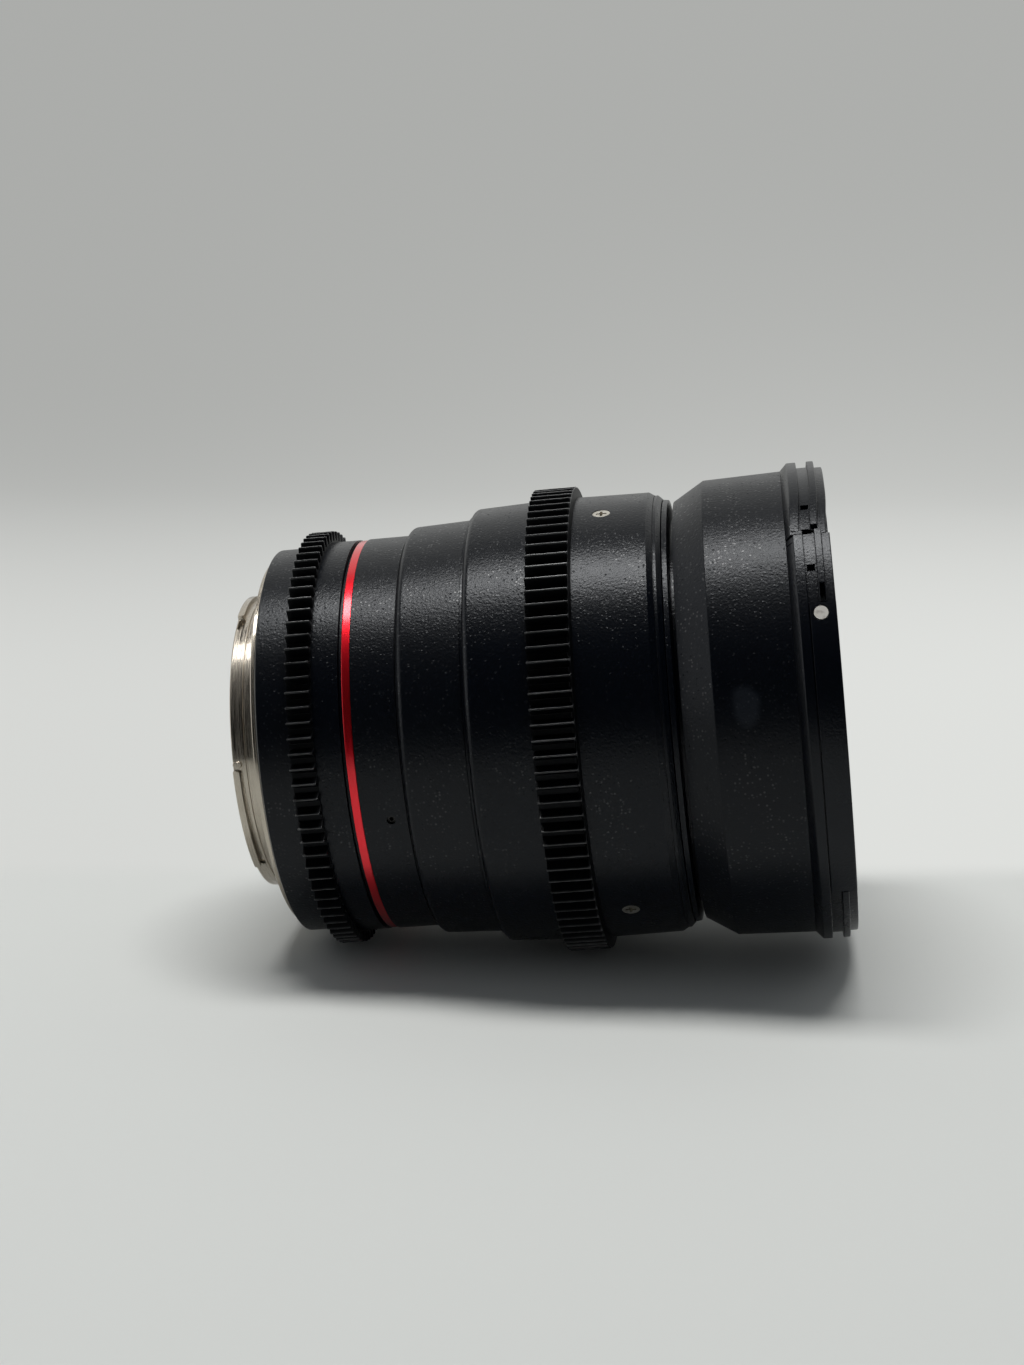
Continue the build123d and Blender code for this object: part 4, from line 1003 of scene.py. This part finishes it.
def makeLockRing():
    rear, front, radius = reach("barrel_lock_ring")
    face = rear + nose["lockWidth"]
    hub = radius - nose["lockFall"] - nose["hubDepth"]
    bore = hub - nose["hubWall"]
    barrelRear = reach("front_barrel")[0]
    groove = hub - nose["grooveDepth"]
    corners = [
        (rear, bore, 0),
        (front, bore, 0),
        (front, hub, 0),
        (barrelRear, hub, 0),
        (barrelRear, groove, 0),
        (face + nose["lockBevel"], groove, 0),
        (face + nose["lockBevel"], hub, 0),
        (face, radius - nose["edge"], nose["edge"]),
        (rear, radius, nose["edge"]),
    ]
    dress(ring("lockRing", corners), ringLook, "barrel", "barrel_lock_ring")


# The end ring: a seam at the sleeve, a short bright band, then a bevel down to the lock ring
def makeEndRing():
    rear, front, radius = reach("focus_end_ring")
    face = rear + nose["endSpigot"]
    seam = face + nose["seam"]
    bore = radius - nose["endWall"]
    spigot = radius - nose["spigotDrop"]
    corners = [
        (face, bore, 0),
        (front, bore, 0),
        (front, radius - nose["endFall"], nose["edge"]),
        (face + nose["endBand"], radius, nose["edge"]),
        (seam, radius, nose["edge"] / 2),
        (seam, radius - nose["edge"] * 2, 0),
        (face, radius - nose["edge"] * 2, 0),
        (face, spigot, 0),
        (rear, spigot, 0),
        (rear, spigot - nose["spigotWall"], 0),
        (face, spigot - nose["spigotWall"], 0),
    ]
    dress(ring("endRing", corners), ringLook, "focus_ring", "focus_end_ring")


makeFrontBarrel()
makeLockRing()
makeEndRing()
print("front barrel made")

# Front rim, the bayonet of a hood: steps along it, lands, notches, slot, dot and the crack.
# Clocks are in degrees; a zone is where finer columns start and end, and their step.
rim = {
    "ramp": 1.25,
    "lip": 1.55,
    "groove": 1.85,
    "rib": 1.15,
    "wall": 1.1,
    "lipHeight": 1.3,
    "lipRound": 0.35,
    "ribHeight": 1.0,
    "edge": 0.12,
    "rootRound": 0.06,
    "bandDepth": 1.15,
    "bandRound": 0.2,
    "faceDrop": 0.4,
    "boreBevel": 0.12,
    "landDepth": 0.1,
    "landGap": 0.15,
    "landRound": 0.3,
    "landClocks": ((-38.0, 33.7), (142.0, 213.7)),
    "notchClocks": (63.2, 54.2, 43.2),
    "notchWidth": 1.3,
    "notchDepth": 0.8,
    "slotClock": 36.05,
    "slotWidth": 0.85,
    "slotLength": 3.25,
    "slotDepth": 1.6,
    "dotClock": 31.1,
    "dotPlace": 4.7,
    "dotRadius": 1.15,
    "dotSoft": (0.03, 0.12),
    "dotDepth": 0.7,
    "crackShares": (0.0, 0.17, 0.39, 0.6, 0.63, 0.79, 0.81, 1.0),
    "crackClocks": (49.9, 52.0, 53.3, 54.4, 54.3, 54.3, 53.5, 53.7),
    "crackHalves": (0.12, 0.12, 0.12, 0.2, 0.9, 0.9, 0.12, 0.12),
    "crackRagged": 0.1,
    "crackDepth": 0.8,
    "push": 0.5,
    "pushReach": 17.0,
    "pushStart": (0.1, 1.3),
    "sink": 0.12,
    "chipClocks": (20.0, 49.5),
    "chipBias": 0.35,
    "chipLength": 0.55,
    "chipDepth": 0.28,
    "knots": 601,
    "seed": 5,
    "thin": 0.02,
    "support": 0.03,
    "rows": 110,
    "faceRows": 6,
    "landSteps": 6,
    "clockStep": 1.0,
    "zones": ((28.5, 34.0, 0.2), (48.0, 58.0, 0.11), (20.0, 48.0, 0.3)),
    "sharp": 45.0,
}
rimRear, rimFront, ribRadius = reach("front_rim")
rimBarrel = reach("front_barrel")[2]
grooveRadius = ribRadius - rim["ribHeight"]
landRadius = ribRadius - rim["landDepth"]
lipRear = rimRear + rim["ramp"]
lipFront = lipRear + rim["lip"]
grooveFront = lipFront + rim["groove"]
notchMiddle = (lipFront + grooveFront) / 2
slotMiddle = grooveFront + rim["rib"] / 2


# Where a cut ends on a wall: two close points at each side of it, so that its sides are steep
def cutSides(middle, width, radius):
    return [(middle + side * width / 2 + step, radius, 0)
            for side in (-1, 1) for step in (-rim["thin"], rim["thin"])]


# Outlines of (x, radius) with equal rows: one where the rim is open and one at its lands.  The
# ramp and the lip behind them and the bore inside them are the same.
def rimOutlines():
    edge, root, support = rim["edge"], rim["rootRound"], rim["support"]
    lipRadius = rimBarrel + rim["lipHeight"]
    band = ribRadius - rim["bandDepth"]
    bore = rimBarrel - rim["wall"]
    ribFront = grooveFront + rim["rib"]
    landRear = lipFront + rim["landGap"]
    behind = roundedProfile([(rimRear, rimBarrel, 0), (lipRear, lipRadius, rim["lipRound"]),
                             (lipFront, lipRadius, edge), (lipFront, grooveRadius, root)],
                            support=support)
    openCorners = [
        (lipFront + edge, grooveRadius, 0),
        *cutSides(notchMiddle, rim["notchWidth"], grooveRadius),
        (grooveFront, grooveRadius, root),
        (grooveFront, ribRadius, edge),
        *cutSides(slotMiddle, rim["slotWidth"], ribRadius),
        (ribFront, ribRadius, edge),
        (ribFront, band, root),
        (rimFront, band, rim["bandRound"]),
        (rimFront, band - rim["faceDrop"], 0),
    ]
    landCorners = [
        (landRear - rim["thin"], grooveRadius, 0),
        (landRear, landRadius, edge),
        (rimFront, landRadius, rim["landRound"]),
        (rimFront, band - rim["faceDrop"], 0),
    ]
    openPart = roundedProfile(openCorners, support=support)
    landPart = roundedProfile(landCorners, rim["landSteps"], support)
    inside = np.array([(rimFront, bore + rim["boreBevel"]), (rimFront - rim["boreBevel"], bore),
                       (rimRear, bore)])
    outerEnd = len(behind) + rim["rows"] - rim["faceRows"]
    return [np.vstack([behind, resample(part, rim["rows"]), inside])
            for part in (openPart, landPart)], outerEnd


# The rim's columns: a pair at each end of the lands, the notches and the slot
def rimClocks():
    notchHalf = math.degrees(rim["notchWidth"] / 2 / grooveRadius)
    slotHalf = math.degrees(rim["slotLength"] / 2 / ribRadius)
    cuts = [(clock, notchHalf) for clock in rim["notchClocks"]] + [(rim["slotClock"], slotHalf)]
    edges = [clock for pair in rim["landClocks"] for clock in pair]
    edges += [clock + side * half for clock, half in cuts for side in (-1, 1)]
    return clockColumns(rim["clockStep"], rim["zones"], edges)


# Arc length from a place to each column, at a radius
def arcFrom(clock, place, radius):
    return np.radians(clock - place)[None, :] * radius


# The rim: the open or the land outline, chosen by clock.  Notches, slot and dot hole lower the
# radius, and the crack lowers it and shifts what is above.
def makeRim():
    (openRows, landRows), outerEnd = rimOutlines()
    clock = rimClocks()
    land = np.zeros(len(clock))
    for low, high in rim["landClocks"]:
        land = np.maximum(land, ((clock - low) % 360.0 < high - low).astype(float))
    pair = openRows[:, None] * (1 - land)[:, None] + landRows[:, None] * land[:, None]
    x, radius = pair[:, :, 0].copy(), pair[:, :, 1].copy()
    outer = (np.arange(len(x)) < outerEnd)[:, None]
    openOuter = outer & (land < 0.5)[None, :]
    for notch in rim["notchClocks"]:
        hit = np.abs(arcFrom(clock, notch, grooveRadius)) < rim["notchWidth"] / 2
        hit = hit & openOuter & (np.abs(x - notchMiddle) < rim["notchWidth"] / 2)
        radius[hit] = grooveRadius - rim["notchDepth"]
    hit = np.abs(arcFrom(clock, rim["slotClock"], ribRadius)) < rim["slotLength"] / 2
    hit = hit & openOuter & (np.abs(x - slotMiddle) < rim["slotWidth"] / 2)
    radius[hit] = ribRadius - rim["slotDepth"]
    away = np.hypot(x - rimRear - rim["dotPlace"], arcFrom(clock, rim["dotClock"], landRadius))
    within, beyond = rim["dotSoft"]
    hole = 1 - ease(away, rim["dotRadius"] - within, rim["dotRadius"] + beyond)
    radius -= rim["dotDepth"] * hole * outer
    share = (x - rimRear) / (rimFront - rimRear)
    past = clock[None, :] - np.interp(share, rim["crackShares"], rim["crackClocks"])
    half = np.interp(share, rim["crackShares"], rim["crackHalves"])
    random = np.random.default_rng(rim["seed"])
    knots = random.uniform(-1.0, 1.0, rim["knots"])
    ragged = np.interp(clock, np.linspace(-180.0, 180.0, rim["knots"]), knots)
    radius -= rim["crackDepth"] * (np.abs(past + rim["crackRagged"] * ragged) < half) * outer
    start, full = rim["pushStart"]
    above = (past > 0) * (1 - ease(past, 0.0, rim["pushReach"]))
    moved = ease(x, rimRear + start, rimRear + full) * above
    x -= moved * rim["push"]
    radius -= moved * rim["sink"] * outer
    low, high = rim["chipClocks"]
    chipped = ((clock > low) & (clock < high)) * np.clip(ragged + rim["chipBias"], 0.0, 1.0)
    chipHalf = rim["chipLength"] / 2
    near = 1 - ease(np.abs(x - rimRear - chipHalf), 0.0, chipHalf)
    radius -= rim["chipDepth"] * chipped[None, :] * near * outer
    points = turnedPoint(x, radius, np.radians(clock)[None, :])
    piece = meshFromGrid("frontRim", points, True, True, sharp=rim["sharp"])
    dress(piece, rimLook, "barrel", "front_rim")


makeRim()
print("front rim made")

# Filter thread: pitch and depth of its helix, and the lead-in at its mouth
thread = {
    "pitch": 0.75,
    "depth": 0.34,
    "slope": 2.6,
    "crestFlat": 0.15,
    "perPitch": 8,
    "leadIn": 0.9,
    "wall": 0.97,
    "columns": 240,
    "sharp": 60.0,
}


# The thread: radius = crest + depth x triangle wave of (place / pitch - turns), so it winds
def makeThread():
    rear, front, outer = reach("filter_ring")
    crest = outer - thread["wall"]
    x = np.linspace(rear, front, int((front - rear) / thread["pitch"] * thread["perPitch"]))
    clock = np.linspace(0.0, 2 * math.pi, thread["columns"], endpoint=False)
    phase = (x[:, None] / thread["pitch"] - clock[None, :] / (2 * math.pi)) % 1.0
    wave = np.clip(np.abs(phase - 0.5) * thread["slope"] - thread["crestFlat"], 0.0, 1.0)
    lead = ease(x, front - thread["leadIn"], front)[:, None]
    radius = crest + thread["depth"] * np.maximum(wave, lead)
    back = np.full((1, len(clock)), outer)
    radius = np.vstack([back, radius, back])
    x = np.concatenate([[rear], x, [front]])
    points = turnedPoint(x[:, None], radius, clock[None, :])
    piece = meshFromGrid("filterThread", points, True, True, flip=True, sharp=thread["sharp"])
    dress(piece, rimLook, "barrel", "filter_ring")


# Bezel between the front glass and the thread: a cone of fine baffle ridges, bare of words
bezel = {
    "overlap": 1.05,
    "lipHeight": 1.5,
    "edge": 0.5,
    "thickness": 1.1,
    "mouth": 1.5,
    "gap": 0.03,
    "ridges": 15,
    "ridgeDepth": 0.28,
}


# The bezel: a ring whose cone goes up in even steps, with a dip behind each crest
def makeBezel():
    seat, front, outer = reach("front_bezel")
    glassRadius = reach("front_glass_1")[2]
    cell = glassRadius - bezel["gap"]
    lip = glassRadius - bezel["overlap"]
    low = np.array((seat + bezel["lipHeight"], lip))
    high = np.array((front - bezel["edge"], outer - bezel["edge"]))
    step = (high - low) / bezel["ridges"]
    dip = step[::-1] / np.hypot(*step) * bezel["ridgeDepth"]
    share = np.arange(bezel["ridges"]) / bezel["ridges"]
    crests = low + (high - low) * share[:, None]
    valleys = crests + step * 0.5 - dip
    cone = [(*point, 0) for both in zip(crests, valleys) for point in both]
    corners = [
        (seat, lip, 0),
        *cone,
        (*high, 0),
        (front, high[1], 0),
        (front, outer, 0),
        (front - bezel["edge"] - bezel["thickness"], outer, 0),
        (seat + bezel["mouth"], cell, 0),
        (seat, cell, 0),
    ]
    dress(ring("ridgedBezel", corners), mattLook, "barrel", "front_bezel")


makeThread()
makeBezel()
print("thread and bezel made")

# Stage: a pale sheet that runs back and up behind the lens.  On each side of the view its level, a
# glow of painted light that stands in for how the paper is lit, falls smoothly, on the screen's 0
# to
# 255 scale, between two places on the way along the sheet.
stage = {
    "normal": (0.098047, 0.0, 0.995182),
    "along": (0.995182, 0.0, -0.098047),
    "touch": (47.4, 0.0, -40.8),
    "near": -1500.0,
    "flat": 650.0,
    "curve": 380.0,
    "top": 1700.0,
    "side": 2600.0,
    "floorRows": 60,
    "curveRows": 32,
    "wallRows": 13,
    "columns": 12,
    "albedo": 0.68,
    "mottle": 0.98,
    "shine": 0.2,
    "cloud": 6.0,
    "roughness": 0.75,
    "spread": 0.1,
    "grain": 900.0,
    "strength": 0.1,
    "height": 0.0001,
    "edge": 0.0445,
    "edgeSlant": 0.09,
    "edgeSoft": 0.008,
    "eye": (0.08, -0.4),
    "aim": 0.125,
    "halfView": 0.2,
    "left": {"near": 212, "far": 172, "from": 0.17, "to": 0.86},
    "right": {"near": 221, "far": 174, "from": 0.22, "to": 1.06},
    "tint": (0.985, 1.0, 0.97),
}


# Level 0 to 255 on the screen to a linear value
def linear(level):
    share = level / 255.0
    return ((share + 0.055) / 1.055) ** 2.4


# The sheet's mesh: a flat run, a quarter circle and a wall, carried sideways, with the way along
# it kept as an attribute
def sheetMesh():
    angles = np.linspace(0.0, math.pi / 2, stage["curveRows"])
    floor = np.linspace(stage["near"], stage["flat"], stage["floorRows"])[:-1]
    rise = np.linspace(stage["curve"], stage["top"], stage["wallRows"])[1:]
    depth = np.concatenate([floor, stage["flat"] + stage["curve"] * np.sin(angles),
                            np.full(len(rise), stage["flat"] + stage["curve"])])
    height = np.concatenate([np.zeros(len(floor)), stage["curve"] * (1 - np.cos(angles)), rise])
    side = np.linspace(-stage["side"], stage["side"], stage["columns"])
    touch, along, normal = (np.array(stage[key]) for key in ("touch", "along", "normal"))
    points = (touch + side[None, :, None] * along + height[:, None, None] * normal
              + depth[:, None, None] * np.array([0.0, 1.0, 0.0]))
    sheet = meshFromGrid("paleSheet", points, flip=True)
    way = np.concatenate([[0.0], np.cumsum(np.hypot(np.diff(depth), np.diff(height)))])
    run = (way + stage["near"]) * mm
    values = np.repeat(run, len(side)).astype(np.float32)
    sheet.data.attributes.new("run", "FLOAT", "POINT").data.foreach_set("value", values)
    return sheet


# The sheet's finish: lit paper near the lens and, past an edge behind it, painted light: a glow at
# a level of its own that camera and glossy rays see in place of the lit paper, and that goes
# smoothly from the left of the view to the right
def sheetFinish():
    look = Look("paleSheet", {"Specular IOR Level": stage["shine"], "Emission Strength": 1.0})
    way = look.node("ShaderNodeAttribute", {"attribute_name": "run"}, output="Fac")
    levels = []
    for part in (stage["left"], stage["right"]):
        fall = look.ease(way, part["from"], part["to"])
        levels.append(look.blend(fall, grey(linear(part["near"]), stage["tint"]),
                                 grey(linear(part["far"]), stage["tint"])))
    x, y = look.axes()[:2]
    ahead = y - stage["eye"][1]
    aside = (x - stage["eye"][0]) + ahead * stage["aim"]
    across = look.ease(aside / (ahead * stage["halfView"]), -1.0, 1.0)
    level = look.blend(across, *levels)
    seen = look.node("ShaderNodeLightPath", output="Is Camera Ray")
    seen = look.math("MAXIMUM", seen, seen.out("Is Glossy Ray"))
    past = way - (x - stage["touch"][0] * mm) * stage["edgeSlant"] - stage["edge"]
    paintedGlow = look.ease(past, -stage["edgeSoft"], stage["edgeSoft"]) * seen
    cloud = look.noise(look.spot(), stage["cloud"], 3.0)
    paper = look.blend(cloud, grey(stage["albedo"], stage["tint"]),
                       grey(stage["albedo"] * stage["mottle"], stage["tint"]))
    # Painted light: where the glow is shown, the paper turns black and glows at the painted level
    look.feed("Base Color", look.blend(paintedGlow, paper, grey(0.0)))
    look.feed("Emission Color", look.blend(paintedGlow, grey(0.0), level))
    look.vary(stage, cloud, look.noise(look.spot(), stage["grain"]))
    return look


def makeSheet():
    sheet = sheetMesh()
    sheet.data.materials.append(sheetFinish().material)


# Painted reflection: a pale card on the left, in metres, that glows though it is no lamp.
# Reflections show it, and all other rays pass through it
wall = {"place": -1.5, "near": -1.7, "far": 1.3, "low": 0.02, "high": 2.2, "level": 1.0, "dim": 0.8}


def makeReflectionCard():
    corners = [(y, z) for y in (wall["near"], wall["far"]) for z in (wall["low"], wall["high"])]
    points = np.array([(wall["place"], y, z) for y, z in corners]) / mm
    piece = meshFromGrid("paintedReflectionCard", points.reshape(2, 2, 3))
    # Painted reflection: the card's glow, which only glossy rays see
    look = Look("paintedReflectionCard", {"Emission Strength": 1.0})
    cloud = look.noise(look.spot(), 1.0)
    look.feed("Emission Color", look.blend(cloud, grey(wall["level"]),
                                           grey(wall["level"] * wall["dim"])))
    glossy = look.node("ShaderNodeLightPath", output="Is Glossy Ray")
    clear = look.node("ShaderNodeBsdfTransparent")
    look.link(look.node("ShaderNodeMixShader", None, {0: glossy, 1: clear, 2: look.shader}),
              look.surface)
    piece.data.materials.append(look.material)


makeSheet()
makeReflectionCard()

# Light: a wide lamp above the lens, a broad soft one behind it, and a dim room
light = {
    "aim": (0.05, 0.0, 0.0),
    "overhead": {"place": (0.09, -0.012, 0.76), "size": (0.54, 0.2), "power": 5.1},
    "behind": {"place": (0.05, 0.62, 0.5), "size": (2.4, 0.8), "power": 2.0},
    "colour": (1.0, 1.0, 0.99),
    "room": (0.9, 0.95, 1.0, 1.0),
    "roomLevel": 0.2,
    "roomShown": 0.01,
}


# A lamp that faces the aim, with its long side along the lens
def makeLamp(name):
    part = light[name]
    lamp = bpy.data.lights.new(name, "AREA")
    lamp.shape = "RECTANGLE"
    lamp.size, lamp.size_y = part["size"]
    lamp.energy = part["power"]
    lamp.color = light["colour"]
    back = (Vector(part["place"]) - Vector(light["aim"])).normalized()
    right = (Vector((1.0, 0.0, 0.0)) - back * back.x).normalized()
    hold(name, lamp, part["place"], right, back.cross(right), back)


# The room: a level that reflections show lower than it lights
def makeRoom():
    world = bpy.data.worlds.new("dimRoom")
    world.use_nodes = True
    graph = Graph(world.node_tree)
    background = world.node_tree.nodes["Background"]
    background.inputs["Color"].default_value = light["room"]
    glossy = graph.node("ShaderNodeLightPath", output="Is Glossy Ray")
    levels = {"Value": glossy, "To Min": light["roomLevel"], "To Max": light["roomShown"]}
    level = graph.node("ShaderNodeMapRange", None, levels, "Result")
    graph.link(level, background.inputs["Strength"])
    bpy.context.scene.world = world


makeLamp("overhead")
makeLamp("behind")
makeRoom()
bpy.context.scene.view_settings.view_transform = "Standard"
print("stage and light ready")
